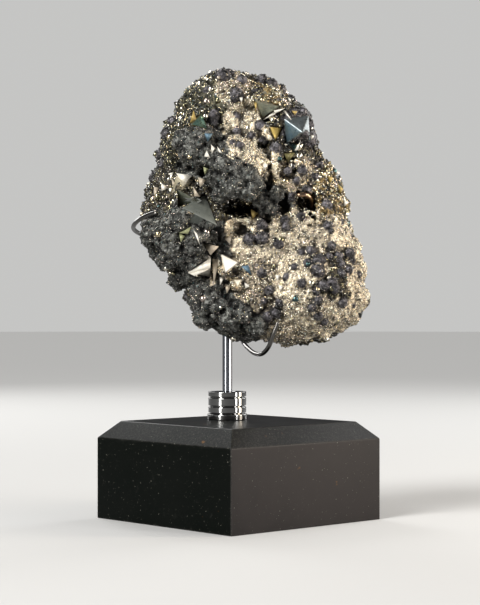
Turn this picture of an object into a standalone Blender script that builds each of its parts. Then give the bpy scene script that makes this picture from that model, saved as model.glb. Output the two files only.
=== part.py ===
"""Pyrite specimen held by three bent wire arms on a post that stands in a drilled stone block.

Metres, +Z up. The origin is the centre of the block's underside, the block stands corner to the front,
and the specimen shows its crystal face towards -Y.
"""

import math
import random

import bmesh
import bpy
from mathutils import Matrix, Vector

MM = 0.001
GAP = 0.3 * MM
OVERSHOOT = 5.0 * MM  # how far a cutter runs past the face it opens

# Stone block
BLOCK_SIDE = 101.6 * MM
BLOCK_HEIGHT = 49.5 * MM
BLOCK_CHAMFER = 8.5 * MM
BLOCK_EDGE_ROUND = 0.4 * MM
SOCKET_DEPTH = 24.0 * MM
BEVEL_STEPS = 2

# Post and collar
POST_RADIUS = 2.5 * MM
POST_X = -6.0 * MM
POST_Y = 10.0 * MM
POST_TOP = 152.0 * MM
POST_END_ROUND = 0.6 * MM
COLLAR_RADIUS = 9.7 * MM
FLANGE_RADIUS = 10.2 * MM
FLANGE_HEIGHT = 2.8 * MM
RING_HEIGHTS = [2.9 * MM, 3.9 * MM, 2.4 * MM]
GROOVE_WIDTH = 0.75 * MM
GROOVE_DEPTH = 0.9 * MM
COLLAR_ROUND = 0.4 * MM
ROUND_SEGMENTS = 44
WELD_DISTANCE = 0.01 * MM
SMOOTH_ANGLE = math.radians(35)
BEVEL_ANGLE = math.radians(30)

# Wire arms
WIRE_RADIUS = 1.1 * MM
WIRE_SPACING = 2.2 * MM
CURVE_STEPS = 24  # samples of the smooth route between two knots
GROOVE_GAP = 1.5 * GAP  # clearance of the specimen from the post and wires
LAP_LENGTH = 12.0 * MM
LEFT_LAP_FOOT = 114.0 * MM
RIGHT_LAP_FOOT = 130.0 * MM
LOWER_LAP_FOOT = 106.0 * MM

# Specimen body: an outline seen from the front, filled out to a rounded front and a flatter back
BODY_CENTRE = Vector((8.0, -20.0, 158.0)) * MM
BODY_FRONT = 22.0 * MM
BODY_BACK = 24.0 * MM
BODY_LEAN = 0.10
FRONT_FULLNESS = 0.75
BACK_FULLNESS = 0.55
RIM_FULLNESS = 0.80
BODY_OUTLINE = [
    (-20, 223), (-8, 226), (2, 224), (19, 223), (24, 215), (32, 207), (37, 200), (38, 190), (44, 181),
    (50, 170), (56, 161), (55, 153), (60, 141), (63, 124), (65, 106), (56, 98), (43, 91), (31, 88),
    (12, 90), (-4, 94), (-19, 98), (-24, 114), (-36, 129), (-46, 143), (-46, 164), (-41, 175),
    (-37, 187), (-33, 204), (-27, 216),
]
VOXEL = 2.2 * MM
BODY_DETAIL = 0.24
BODY_SPHERE_DETAIL = 5
MASS_DETAIL = 3
LUMP_DETAIL = 2
BACK_SEED = 7
RIM_SEED = 11
BACK_SPREAD = (0.02, 0.8)  # squared share of the way from the middle to the outline
RIM_SPREAD = 0.8  # how far towards the front and back the rim's growths reach, as a share
POST_GROOVE_FOOT = 80.0 * MM

# Broad masses that swell from the body: centre across, depth and up, and radius, in mm
MASSES = [
    (2, -36, 172, 18), (-24, -28, 143, 20), (-19, -24, 186, 18), (-6, -18, 206, 19), (23, -22, 196, 14),
    (36, -24, 118, 26), (4, -27, 109, 18), (14, -24, 134, 20), (44, -12, 166, 9), (42, -28, 140, 14),
    (17, -18, 170, 26), (-14, -20, 160, 27), (38, -14, 112, 21), (-4, -12, 196, 21), (-29, -14, 168, 14),
]

# Rounded growths on the front: across, up, radius and how far the growth stands out, in mm
FRONT_LUMPS = [
    (-24, 188, 7, 5), (-15, 190, 7, 6), (-20, 180, 8, 6), (-12, 181, 7, 6), (-4, 177, 6, 5),
    (3, 172, 8, 6), (9, 177, 6, 5), (-9, 167, 6, 5), (-1, 165, 7, 5), (6, 165, 7, 5), (12, 169, 6, 5),
    (14, 160, 6, 5), (21, 161, 6, 5), (-5, 211, 6, 4), (-3, 203, 6, 4), (-9, 197, 5, 3), (-25, 148, 7, 4),
    (-34, 144, 7, 4), (-19, 139, 8, 4), (-28, 134, 7, 4), (-12, 142, 5, 4), (-39, 150, 5, 2),
    (-40, 164, 6, 4), (-33, 172, 6, 4), (-30, 198, 6, 4), (-24, 208, 6, 4), (-14, 216, 6, 4), (-6, 221, 4, 3),
    (3, 219, 5, 4), (12, 217, 5, 4), (20, 214, 5, 4), (26, 207, 5, 4), (32, 198, 5, 4), (33, 190, 5, 4),
    (28, 181, 5, 4), (34, 175, 5, 4), (42, 176, 5, 3), (46, 168, 5, 3), (51, 160, 5, 3), (49, 150, 5, 4),
    (41, 147, 5, 4), (31, 149, 4, 4), (24, 146, 4, 4), (13, 143, 5, 5), (10, 137, 6, 4), (22, 137, 5, 2),
    (32, 134, 5, 2), (43, 137, 5, 4), (40, 127, 6, 5), (49, 127, 6, 4), (55, 132, 5, 3), (57, 122, 4, 4),
    (41, 116, 6, 4), (50, 108, 5, 5), (31, 121, 5, 4), (24, 112, 5, 3), (33, 104, 5, 3), (44, 100, 5, 3),
    (23, 98, 6, 3), (12, 102, 6, 5), (7, 113, 5, 4), (1, 103, 6, 5), (-8, 109, 8, 5), (-14, 103, 6, 4),
    (-15, 116, 6, 5), (-3, 118, 5, 4), (14, 122, 5, 4), (20, 127, 5, 3), (-22, 124, 6, 3), (-27, 160, 5, 3),
]
LUMP_RELIEF = 1.0
BACK_LUMP_COUNT = 90
RIM_LUMP_COUNT = 110
SIDE_LUMP_RADIUS = (4.0 * MM, 7.5 * MM)
SIDE_LUMP_SINK = 0.45
RIM_INSET = 2.2 * MM

# Openings in the body: centre across, depth and up, then half sizes, in mm
HOLLOWS = [
    ((5, -44, 156), (10, 17, 5)),
    ((37, -36, 157), (5, 16, 7)),
    ((15, -50, 147), (3, 9, 8)),
    ((-9, -50, 172), (9, 7, 3)),
    ((15, -48, 190), (3, 9, 12)),
]

# Large octahedral crystals: the three corners of the face that shows, across and up in mm, which way
# the face tips, and how far the face's middle stands off the body
CRYSTALS = {
    "crystal_left_large": ((-24, 155), (-14, 162), (-8, 147), 1, 3.0),
    "crystal_left_upper": ((-27, 164), (-18, 159), (-26, 155), -1, 1.5),
    "crystal_left_bright": ((-28, 171), (-20, 169), (-24, 166), 1, 2.0),
    "crystal_top_grey": ((10, 208), (22, 205), (13, 200), 1, 3.0),
    "crystal_top_blue": ((24, 199), (33, 192), (25, 187), -1, 4.0),
    "crystal_top_gold": ((17, 195), (23, 195), (20, 188), 1, 2.5),
    "crystal_top_teal": ((26, 187), (32, 188), (30, 182), 1, 2.0),
    "crystal_upper_teal": ((-21, 196), (-16, 202), (-13, 194), 1, 2.0),
    "crystal_low_wide": ((-22, 124), (-11, 131), (-12, 122), -1, 2.5),
    "crystal_low_front": ((-6, 133), (2, 129), (-4, 124), 1, 3.5),
    "crystal_low_small": ((-1, 121), (4, 121), (2, 117), 1, 1.5),
}


def clear_scene():
    for obj in list(bpy.data.objects):
        bpy.data.objects.remove(obj, do_unlink=True)


def new_collection(name):
    collection = bpy.data.collections.new(name)
    bpy.context.scene.collection.children.link(collection)
    return collection


def material(name, color, roughness, metallic=0.0):
    made = bpy.data.materials.new(name)
    made.use_nodes = True
    shader = made.node_tree.nodes["Principled BSDF"]
    shader.inputs["Base Color"].default_value = (*color, 1.0)
    shader.inputs["Roughness"].default_value = roughness
    shader.inputs["Metallic"].default_value = metallic
    return made


def add_object(name, mesh, collection, look=None):
    obj = bpy.data.objects.new(name, mesh)
    collection.objects.link(obj)
    if look:
        mesh.materials.append(look)
    return obj


def mesh_from(bm, name):
    mesh = bpy.data.meshes.new(name)
    bm.to_mesh(mesh)
    bm.free()
    return mesh


def cylinder(name, radius, low, high, collection, look=None):
    """An upright cylinder between two heights, on the post's axis."""
    bm = bmesh.new()
    bmesh.ops.create_cone(
        bm, cap_ends=True, segments=ROUND_SEGMENTS, radius1=radius, radius2=radius, depth=high - low
    )
    obj = add_object(name, mesh_from(bm, name), collection, look)
    obj.location = (POST_X, POST_Y, (low + high) / 2)
    return obj


def cut(obj, cutter):
    cutter.hide_render = True
    cutter.display_type = "WIRE"
    boolean = obj.modifiers.new("cut_" + cutter.name, "BOOLEAN")
    boolean.operation = "DIFFERENCE"
    boolean.object = cutter


def round_edges(obj, width):
    bevel = obj.modifiers.new("rounded_edges", "BEVEL")
    bevel.width = width
    bevel.segments = BEVEL_STEPS
    bevel.limit_method = "ANGLE"
    bevel.angle_limit = BEVEL_ANGLE


def smooth(mesh):
    mesh.shade_smooth()
    mesh.set_sharp_from_angle(angle=SMOOTH_ANGLE)


def frozen(obj, collection):
    """The object's evaluated shape as a plain mesh object of the same name."""
    depsgraph = bpy.context.evaluated_depsgraph_get()
    mesh = bpy.data.meshes.new_from_object(obj.evaluated_get(depsgraph))
    bm = bmesh.new()
    bm.from_mesh(mesh)
    bmesh.ops.remove_doubles(bm, verts=bm.verts, dist=WELD_DISTANCE)
    bm.to_mesh(mesh)
    bm.free()
    name = obj.name
    place = obj.matrix_world.copy()
    bpy.data.objects.remove(obj, do_unlink=True)
    result = add_object(name, mesh, collection)
    result.matrix_world = place
    return result


# ---------------------------------------------------------------- block, collar and post


def make_block(collection, cutters):
    bm = bmesh.new()
    bmesh.ops.create_cube(bm, size=1.0)
    bmesh.ops.scale(bm, vec=(BLOCK_SIDE, BLOCK_SIDE, BLOCK_HEIGHT), verts=bm.verts)
    bmesh.ops.translate(bm, vec=(0, 0, BLOCK_HEIGHT / 2), verts=bm.verts)
    top = [e for e in bm.edges if all(v.co.z > BLOCK_HEIGHT / 2 for v in e.verts)]
    bmesh.ops.bevel(bm, geom=top, offset=BLOCK_CHAMFER, segments=1, affect="EDGES")
    bmesh.ops.rotate(bm, matrix=Matrix.Rotation(math.radians(45), 3, "Z"), verts=bm.verts)
    look = material("black_stone", (0.02, 0.021, 0.02), 0.38)
    block = add_object("base_block", mesh_from(bm, "base_block"), collection, look)
    round_edges(block, BLOCK_EDGE_ROUND)
    socket = cylinder(
        "socket_cutter", POST_RADIUS + GAP, BLOCK_HEIGHT - SOCKET_DEPTH, BLOCK_HEIGHT + OVERSHOOT, cutters
    )
    cut(block, socket)
    return block


def collar_profile():
    """Half section of the collar, closed: the bore, then the rings from the top down to the foot flange."""
    bore = POST_RADIUS + GAP
    base = BLOCK_HEIGHT + GAP
    root = COLLAR_RADIUS - GROOVE_DEPTH
    low = base + FLANGE_HEIGHT
    sections = []
    for height in RING_HEIGHTS:
        low += GROOVE_WIDTH
        sections.append((low, low + height))
        low += height
    points = [(bore, low)]
    for low, high in reversed(sections):
        points += [
            (COLLAR_RADIUS - COLLAR_ROUND, high),
            (COLLAR_RADIUS, high - COLLAR_ROUND),
            (COLLAR_RADIUS, low + COLLAR_ROUND),
            (COLLAR_RADIUS - COLLAR_ROUND, low),
            (root, low - GROOVE_WIDTH / 2),
        ]
    points += [
        (FLANGE_RADIUS - COLLAR_ROUND, base + FLANGE_HEIGHT),
        (FLANGE_RADIUS, base + FLANGE_HEIGHT - COLLAR_ROUND),
        (FLANGE_RADIUS, base),
        (bore, base),
    ]
    return points


def make_collar(collection):
    profile = collar_profile()
    bm = bmesh.new()
    verts = [bm.verts.new((x, 0, z)) for x, z in profile]
    for first, second in zip(verts, verts[1:] + verts[:1]):
        bm.edges.new((first, second))
    look = material("polished_chrome", (0.75, 0.75, 0.76), 0.08, 1.0)
    collar = add_object("collar", mesh_from(bm, "collar"), collection, look)
    collar.location = (POST_X, POST_Y, 0)
    screw = collar.modifiers.new("turned", "SCREW")
    screw.steps = ROUND_SEGMENTS
    screw.render_steps = ROUND_SEGMENTS
    screw.use_merge_vertices = True
    screw.merge_threshold = WELD_DISTANCE
    return collar


def make_post(collection):
    look = material("chromed_rod", (0.72, 0.72, 0.73), 0.12, 1.0)
    bottom = BLOCK_HEIGHT - SOCKET_DEPTH + GAP
    post = cylinder("post", POST_RADIUS, bottom, POST_TOP, collection, look)
    smooth(post.data)
    round_edges(post, POST_END_ROUND)
    return post


# ---------------------------------------------------------------- wire arms


def smooth_path(knots, spacing):
    """Points a fixed distance apart along a Catmull-Rom curve through the knots."""
    ends = [knots[0] * 2 - knots[1]] + knots + [knots[-1] * 2 - knots[-2]]
    dense = []
    for p0, p1, p2, p3 in zip(ends, ends[1:], ends[2:], ends[3:]):
        for step in range(CURVE_STEPS):
            t = step / CURVE_STEPS
            dense.append(
                0.5 * (2 * p1 + (p2 - p0) * t + (2 * p0 - 5 * p1 + 4 * p2 - p3) * t**2
                       + (3 * p1 - p0 - 3 * p2 + p3) * t**3)
            )
    dense.append(knots[-1])
    points = [dense[0]]
    travelled = 0.0
    for first, second in zip(dense, dense[1:]):
        travelled += (second - first).length
        if travelled >= spacing:
            points.append(second)
            travelled = 0.0
    if travelled > spacing / 2:
        points.append(dense[-1])
    else:
        points[-1] = dense[-1]
    return points


def wire(name, knots, radius, collection, look=None):
    curve = bpy.data.curves.new(name, "CURVE")
    curve.dimensions = "3D"
    curve.bevel_depth = radius
    curve.bevel_resolution = 2
    curve.use_fill_caps = True
    points = smooth_path(knots, WIRE_SPACING)
    spline = curve.splines.new("POLY")
    spline.points.add(len(points) - 1)
    for slot, point in zip(spline.points, points):
        slot.co = (*point, 1.0)
    obj = bpy.data.objects.new(name, curve)
    collection.objects.link(obj)
    bpy.context.view_layer.update()
    solid = frozen(obj, collection)
    smooth(solid.data)
    if look:
        solid.data.materials.append(look)
    return solid


def arm_knots():
    """Each arm's route: a straight lap on the post, a run behind the specimen, and the hook in front."""
    beside = POST_RADIUS + WIRE_RADIUS + GAP
    lap = Vector((0, 0, LAP_LENGTH))
    left = Vector((POST_X, POST_Y + beside, LEFT_LAP_FOOT))
    right = Vector((POST_X, POST_Y + beside, RIGHT_LAP_FOOT))
    low = Vector((POST_X + beside, POST_Y, LOWER_LAP_FOOT))
    return {
        "arm_left": [left, left + lap]
        + [Vector(p) * MM for p in [(-20, 14, 137), (-38, 10, 142), (-48, 1, 144), (-51.5, -12, 146),
                                    (-50.5, -25, 148), (-46.5, -35, 150.5), (-40.7, -41, 152.7),
                                    (-37, -43.4, 153.2)]],
        "arm_right": [right, right + lap]
        + [Vector(p) * MM for p in [(8, 14, 145), (24, 13, 147), (34, 8, 149), (37, 0, 151.5),
                                    (37.3, -14, 153.5), (37.4, -28, 156), (37.2, -37, 159.5),
                                    (35, -41.2, 161.7), (30.5, -42.4, 161.6)]],
        "arm_lower": [low + lap, low]
        + [Vector(p) * MM for p in [(-1, 7, 96), (1.5, 0, 91.5), (5, -14, 87.5), (9.5, -27, 84.6),
                                    (13.5, -36, 84.8), (16.8, -41.5, 88.5), (19, -44.3, 94.5),
                                    (21.5, -45.4, 100.5)]],
    }


def make_arms(collection):
    look = material("nickel_wire", (0.62, 0.60, 0.56), 0.22, 1.0)
    return [wire(name, knots, WIRE_RADIUS, collection, look) for name, knots in arm_knots().items()]


# ---------------------------------------------------------------- specimen


def outline_radius(angle):
    """Distance from the body's centre to its outline in a direction seen from the front."""
    centre_x = BODY_CENTRE.x / MM
    centre_z = BODY_CENTRE.z / MM
    polar = sorted(
        (math.atan2(z - centre_z, x - centre_x) % math.tau, math.hypot(x - centre_x, z - centre_z))
        for x, z in BODY_OUTLINE
    )
    polar = [(polar[-1][0] - math.tau, polar[-1][1])] + polar + [(polar[0][0] + math.tau, polar[0][1])]
    angle = angle % math.tau
    for (a0, r0), (a1, r1) in zip(polar, polar[1:]):
        if a0 <= angle <= a1:
            return (r0 + (r1 - r0) * (angle - a0) / (a1 - a0)) * MM - RIM_INSET
    return polar[0][1] * MM - RIM_INSET


def middle_depth(z):
    return BODY_CENTRE.y + BODY_LEAN * (z - BODY_CENTRE.z)


def surface_depth(x, z, front=True):
    """Depth of the body's front or back surface, masses included, behind a point seen from the front."""
    dx = x - BODY_CENTRE.x
    dz = z - BODY_CENTRE.z
    share = min(math.hypot(dx, dz) / outline_radius(math.atan2(dz, dx)), 1.0)
    slope = math.sqrt(1.0 - share ** (2 / RIM_FULLNESS))
    ahead = middle_depth(z) - BODY_FRONT * slope**FRONT_FULLNESS
    behind = middle_depth(z) + BODY_BACK * slope**BACK_FULLNESS
    for centre_x, centre_y, centre_z, radius in MASSES:
        away_squared = (x / MM - centre_x) ** 2 + (z / MM - centre_z) ** 2
        if away_squared < radius**2:
            half = math.sqrt(radius**2 - away_squared)
            ahead = min(ahead, (centre_y - half) * MM)
            behind = max(behind, (centre_y + half) * MM)
    return ahead if front else behind


def body_point(direction):
    """Moves a point of a unit sphere, poles to the front and back, onto the plain body."""
    angle = math.atan2(direction.z, direction.x)
    across = math.hypot(direction.x, direction.z) ** RIM_FULLNESS * outline_radius(angle)
    x = BODY_CENTRE.x + across * math.cos(angle)
    z = BODY_CENTRE.z + across * math.sin(angle)
    ahead = abs(direction.y)
    if direction.y < 0:
        return Vector((x, middle_depth(z) - BODY_FRONT * ahead**FRONT_FULLNESS, z))
    return Vector((x, middle_depth(z) + BODY_BACK * ahead**BACK_FULLNESS, z))


def add_sphere(bm, centre, radius, detail=LUMP_DETAIL):
    made = bmesh.ops.create_icosphere(bm, subdivisions=detail, radius=radius)
    bmesh.ops.translate(bm, vec=centre, verts=made["verts"])


def back_lumps():
    """Growths over the back, clear of the post, in seeded random places: centre and radius of each."""
    chooser = random.Random(BACK_SEED)
    for _ in range(BACK_LUMP_COUNT):
        angle = chooser.uniform(0, math.tau)
        share = math.sqrt(chooser.uniform(*BACK_SPREAD))
        radius = chooser.uniform(*SIDE_LUMP_RADIUS)
        x = BODY_CENTRE.x + share * outline_radius(angle) * math.cos(angle)
        z = BODY_CENTRE.z + share * outline_radius(angle) * math.sin(angle)
        if abs(x - POST_X) > radius + POST_RADIUS or z > POST_TOP + radius:
            yield Vector((x, surface_depth(x, z, front=False) - radius * SIDE_LUMP_SINK, z)), radius


def rim_lumps():
    """Growths round the rim between front and back, in seeded random places."""
    chooser = random.Random(RIM_SEED)
    for _ in range(RIM_LUMP_COUNT):
        angle = chooser.uniform(0, math.tau)
        radius = chooser.uniform(*SIDE_LUMP_RADIUS)
        depth = chooser.uniform(-RIM_SPREAD, RIM_SPREAD)
        rim = outline_radius(angle) * (1 - depth**2) ** (RIM_FULLNESS / 2)
        reach = rim - radius * SIDE_LUMP_SINK
        x = BODY_CENTRE.x + reach * math.cos(angle)
        z = BODY_CENTRE.z + reach * math.sin(angle)
        yield Vector((x, middle_depth(z) + depth * BODY_FRONT, z)), radius


def make_body_shape(collection):
    bm = bmesh.new()
    bmesh.ops.create_icosphere(bm, subdivisions=BODY_SPHERE_DETAIL, radius=1.0)
    for vert in bm.verts:
        vert.co = body_point(vert.co)
    for x, y, z, radius in MASSES:
        add_sphere(bm, Vector((x, y, z)) * MM, radius * MM, MASS_DETAIL)
    for x, z, radius, height in FRONT_LUMPS:
        depth = surface_depth(x * MM, z * MM)
        centre = Vector((x * MM, depth + (radius - height - LUMP_RELIEF) * MM, z * MM))
        add_sphere(bm, centre, radius * MM)
    for lumps in (back_lumps(), rim_lumps()):
        for centre, radius in lumps:
            add_sphere(bm, centre, radius)
    body = add_object("matrix", mesh_from(bm, "matrix"), collection)
    remesh = body.modifiers.new("fused", "REMESH")
    remesh.mode = "VOXEL"
    remesh.voxel_size = VOXEL
    decimate = body.modifiers.new("coarse", "DECIMATE")
    decimate.ratio = BODY_DETAIL
    return body


def make_hollow_cutters(cutters):
    made = []
    for index, (centre, half) in enumerate(HOLLOWS):
        bm = bmesh.new()
        bmesh.ops.create_icosphere(bm, subdivisions=MASS_DETAIL, radius=1.0)
        bmesh.ops.scale(bm, vec=Vector(half) * MM, verts=bm.verts)
        bmesh.ops.translate(bm, vec=Vector(centre) * MM, verts=bm.verts)
        made.append(add_object(f"hollow_cutter_{index}", mesh_from(bm, "hollow"), cutters))
    return made


def crystal_corners(first, second, third, tip, stand_off):
    """The face's three corners in space: the equal-sided triangle that is seen as these corners."""
    flat = [Vector((x * MM, z * MM)) for x, z in (first, second, third)]
    u = flat[1] - flat[0]
    v = flat[2] - flat[0]
    uu, vv, uv = u.dot(u), v.dot(v), u.dot(v)
    spread = uu + vv - uv
    side_squared = (spread + math.sqrt(spread**2 - 3 * (uu * vv - uv**2))) / 1.5
    rise_u = tip * math.sqrt(max(side_squared - uu, 0.0))
    rise_v = math.copysign(math.sqrt(max(side_squared - vv, 0.0)), tip * (side_squared / 2 - uv))
    middle = (flat[0] + flat[1] + flat[2]) / 3
    depth = surface_depth(middle.x, middle.y) - stand_off * MM - (rise_u + rise_v) / 3
    return [
        Vector((point.x, depth + rise, point.y))
        for point, rise in zip(flat, (0.0, rise_u, rise_v))
    ]


def octahedron(name, corners, collection, grow=0.0, look=None):
    """An octahedron with one face on three given corners, grown outwards by a distance."""
    side = (corners[1] - corners[0]).length
    inner = side * math.sqrt(6) / 6
    middle = (corners[0] + corners[1] + corners[2]) / 3
    normal = (corners[1] - corners[0]).cross(corners[2] - corners[0]).normalized()
    if normal.y > 0:
        normal = -normal
    centre = middle - normal * inner
    axes = [(corner - centre).normalized() for corner in corners]
    turn = Matrix((axes[0], axes[1], axes[0].cross(axes[1]))).transposed()
    reach = side / math.sqrt(2) * (1 + grow / inner)
    bm = bmesh.new()
    bmesh.ops.create_uvsphere(bm, u_segments=4, v_segments=2, radius=reach)
    bmesh.ops.transform(bm, matrix=Matrix.Translation(centre) @ turn.to_4x4(), verts=bm.verts)
    return add_object(name, mesh_from(bm, name), collection, look)


def make_crystals(collection, cutters):
    looks = {
        "dark": material("tarnished_pyrite", (0.22, 0.24, 0.20), 0.25, 1.0),
        "bright": material("bright_pyrite", (0.80, 0.72, 0.52), 0.18, 1.0),
    }
    crystals = []
    for name, (first, second, third, tip, stand_off) in CRYSTALS.items():
        corners = crystal_corners(first, second, third, tip, stand_off)
        bright = any(word in name for word in ("bright", "gold", "low"))
        crystal = octahedron(name, corners, collection, 0.0, looks["bright" if bright else "dark"])
        pocket = octahedron(name + "_pocket", corners, cutters, GAP)
        crystals.append((crystal, pocket))
    for index, (crystal, _) in enumerate(crystals):
        for _, earlier_pocket in crystals[:index]:
            if near(crystal, earlier_pocket):
                cut(crystal, earlier_pocket)
    return crystals


def near(first, second):
    """Whether the spheres around two objects meet."""
    return (centre_of(first) - centre_of(second)).length < size_of(first) + size_of(second)


def centre_of(obj):
    return sum((v.co for v in obj.data.vertices), Vector()) / len(obj.data.vertices)


def size_of(obj):
    centre = centre_of(obj)
    return max((v.co - centre).length for v in obj.data.vertices)


def make_specimen(collection, cutters, crystals):
    body = make_body_shape(collection)
    for hollow in make_hollow_cutters(cutters):
        cut(body, hollow)
    groove_top = POST_TOP + OVERSHOOT
    cut(body, cylinder("post_groove_cutter", POST_RADIUS + GROOVE_GAP, POST_GROOVE_FOOT, groove_top, cutters))
    for name, knots in arm_knots().items():
        cut(body, wire(name + "_groove_cutter", knots, WIRE_RADIUS + GROOVE_GAP, cutters))
    for _, pocket in crystals:
        cut(body, pocket)
    body.data.materials.append(material("matrix_stone", (0.20, 0.18, 0.15), 0.55, 0.3))
    return body


def main():
    clear_scene()
    collection = new_collection("pyrite_specimen")
    cutters = new_collection("cutters")
    make_block(collection, cutters)
    make_collar(collection)
    make_post(collection)
    make_arms(collection)
    crystals = make_crystals(collection, cutters)
    make_specimen(collection, cutters, crystals)


main()
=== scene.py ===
"""The looks of the mounted pyrite specimen: its grown surface and crystals, the mount and the stone."""
import math

import bmesh
import bpy
import numpy as np
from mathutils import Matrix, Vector


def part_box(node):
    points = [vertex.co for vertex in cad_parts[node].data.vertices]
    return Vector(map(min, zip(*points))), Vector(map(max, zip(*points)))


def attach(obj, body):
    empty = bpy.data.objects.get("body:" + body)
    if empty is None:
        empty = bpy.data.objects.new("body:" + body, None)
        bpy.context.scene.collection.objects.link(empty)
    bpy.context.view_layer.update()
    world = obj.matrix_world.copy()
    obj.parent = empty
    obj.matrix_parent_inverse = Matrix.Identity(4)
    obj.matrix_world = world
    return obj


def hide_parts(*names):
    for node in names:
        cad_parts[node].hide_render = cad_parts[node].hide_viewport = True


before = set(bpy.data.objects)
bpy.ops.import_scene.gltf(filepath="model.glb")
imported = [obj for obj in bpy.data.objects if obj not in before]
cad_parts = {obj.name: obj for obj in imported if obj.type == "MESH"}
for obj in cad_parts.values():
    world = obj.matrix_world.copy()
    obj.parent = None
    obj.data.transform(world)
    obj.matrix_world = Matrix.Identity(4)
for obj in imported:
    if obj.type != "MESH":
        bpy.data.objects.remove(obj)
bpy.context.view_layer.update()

MM = 0.001
SEED = 20
RNG = np.random.RandomState(SEED)

# ---- the specimen's design, as the CAD has it

BODY_CENTRE = np.array((8.0, -20.0, 158.0)) * MM
BODY_FRONT = 22.0 * MM
BODY_BACK = 24.0 * MM
BODY_LEAN = 0.10
FRONT_FULLNESS = 0.75
BACK_FULLNESS = 0.55
RIM_FULLNESS = 0.80
RIM_INSET = 2.2 * MM
GROWTH_SINK = 1.0 * MM
HEADS_STAND_OUT = 0.85
BALLS_STAND_OUT = 0.75
HEAD_JITTER = 1.2 * MM
# Random factors on the radii: the least and how much more
HEAD_FACTORS = (0.80, 0.22)
BALL_FACTORS = (0.50, 0.42)
BUD_FACTORS = (0.7, 0.6)
CORE_SHARE = 0.9  # how much of a growth's radius its core keeps under its buds
BUD_REACH = 1.02
# How many smaller growths bud on each, and their size as a share of its radius
HEAD_LOBES = (16, 0.42)
LOBE_BUDS = (22, 0.27)
BALL_BUDS = (26, 0.34)
SIDE_BUDS = (36, 0.22)
BACK_GROWTHS = 150
BACK_SIZES = (2.5, 6.5)  # mm, as the next two
RIM_GROWTHS = 190
RIM_SIZES = (2.5, 6.0)
KNOB_SIZES = (0.9, 2.2)
RIM_DEPTH = 0.85  # how far round the rim's growths go, 1 being the middle of the front or back
POST_GAP = 4.0 * MM
HOLLOW_RAG = 2.2  # mm
ROUGH_VOXEL = 1.3 * MM
BODY_VOXEL = 0.72 * MM
# The outline seen from the front: across and up in mm
BODY_OUTLINE = [
    (-20, 223), (-8, 226), (2, 224), (19, 223), (24, 215), (32, 207), (37, 200), (38, 190), (44, 181),
    (50, 170), (56, 161), (55, 153), (60, 141), (63, 124), (65, 106), (56, 98), (43, 91), (31, 88),
    (12, 90), (-4, 94), (-19, 98), (-24, 114), (-36, 129), (-46, 143), (-46, 164), (-41, 175),
    (-37, 187), (-33, 204), (-27, 216),
]
# Rounded masses that swell the body: middle across, in depth and up, and radius, in mm
MASSES = [
    (2, -36, 172, 18), (-24, -28, 143, 20), (-19, -24, 186, 18), (-6, -18, 206, 19), (23, -22, 196, 14),
    (36, -24, 118, 26), (4, -27, 109, 18), (14, -24, 134, 20), (44, -12, 166, 9), (42, -28, 140, 14),
    (17, -18, 170, 26), (-14, -20, 160, 27), (38, -14, 112, 21), (-4, -12, 196, 21), (-29, -14, 168, 14),
]
# Hollows in the front: middle across and up, half width, half height and depth, in mm
HOLLOWS = [
    (4, 156.5, 10, 5.5, 13), (37, 157, 6, 9, 12), (15, 147, 3, 8, 4), (-10, 172, 9, 3, 5),
    (15, 190, 4, 13, 7), (-16, 151, 8, 3, 4), (16, 168, 3, 9, 6), (-21, 165, 6, 3, 4), (26, 176, 5, 6, 5),
    (3, 145, 5, 4, 5), (-28, 176, 3, 6, 3), (24, 157, 4, 6, 5),
]

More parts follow.
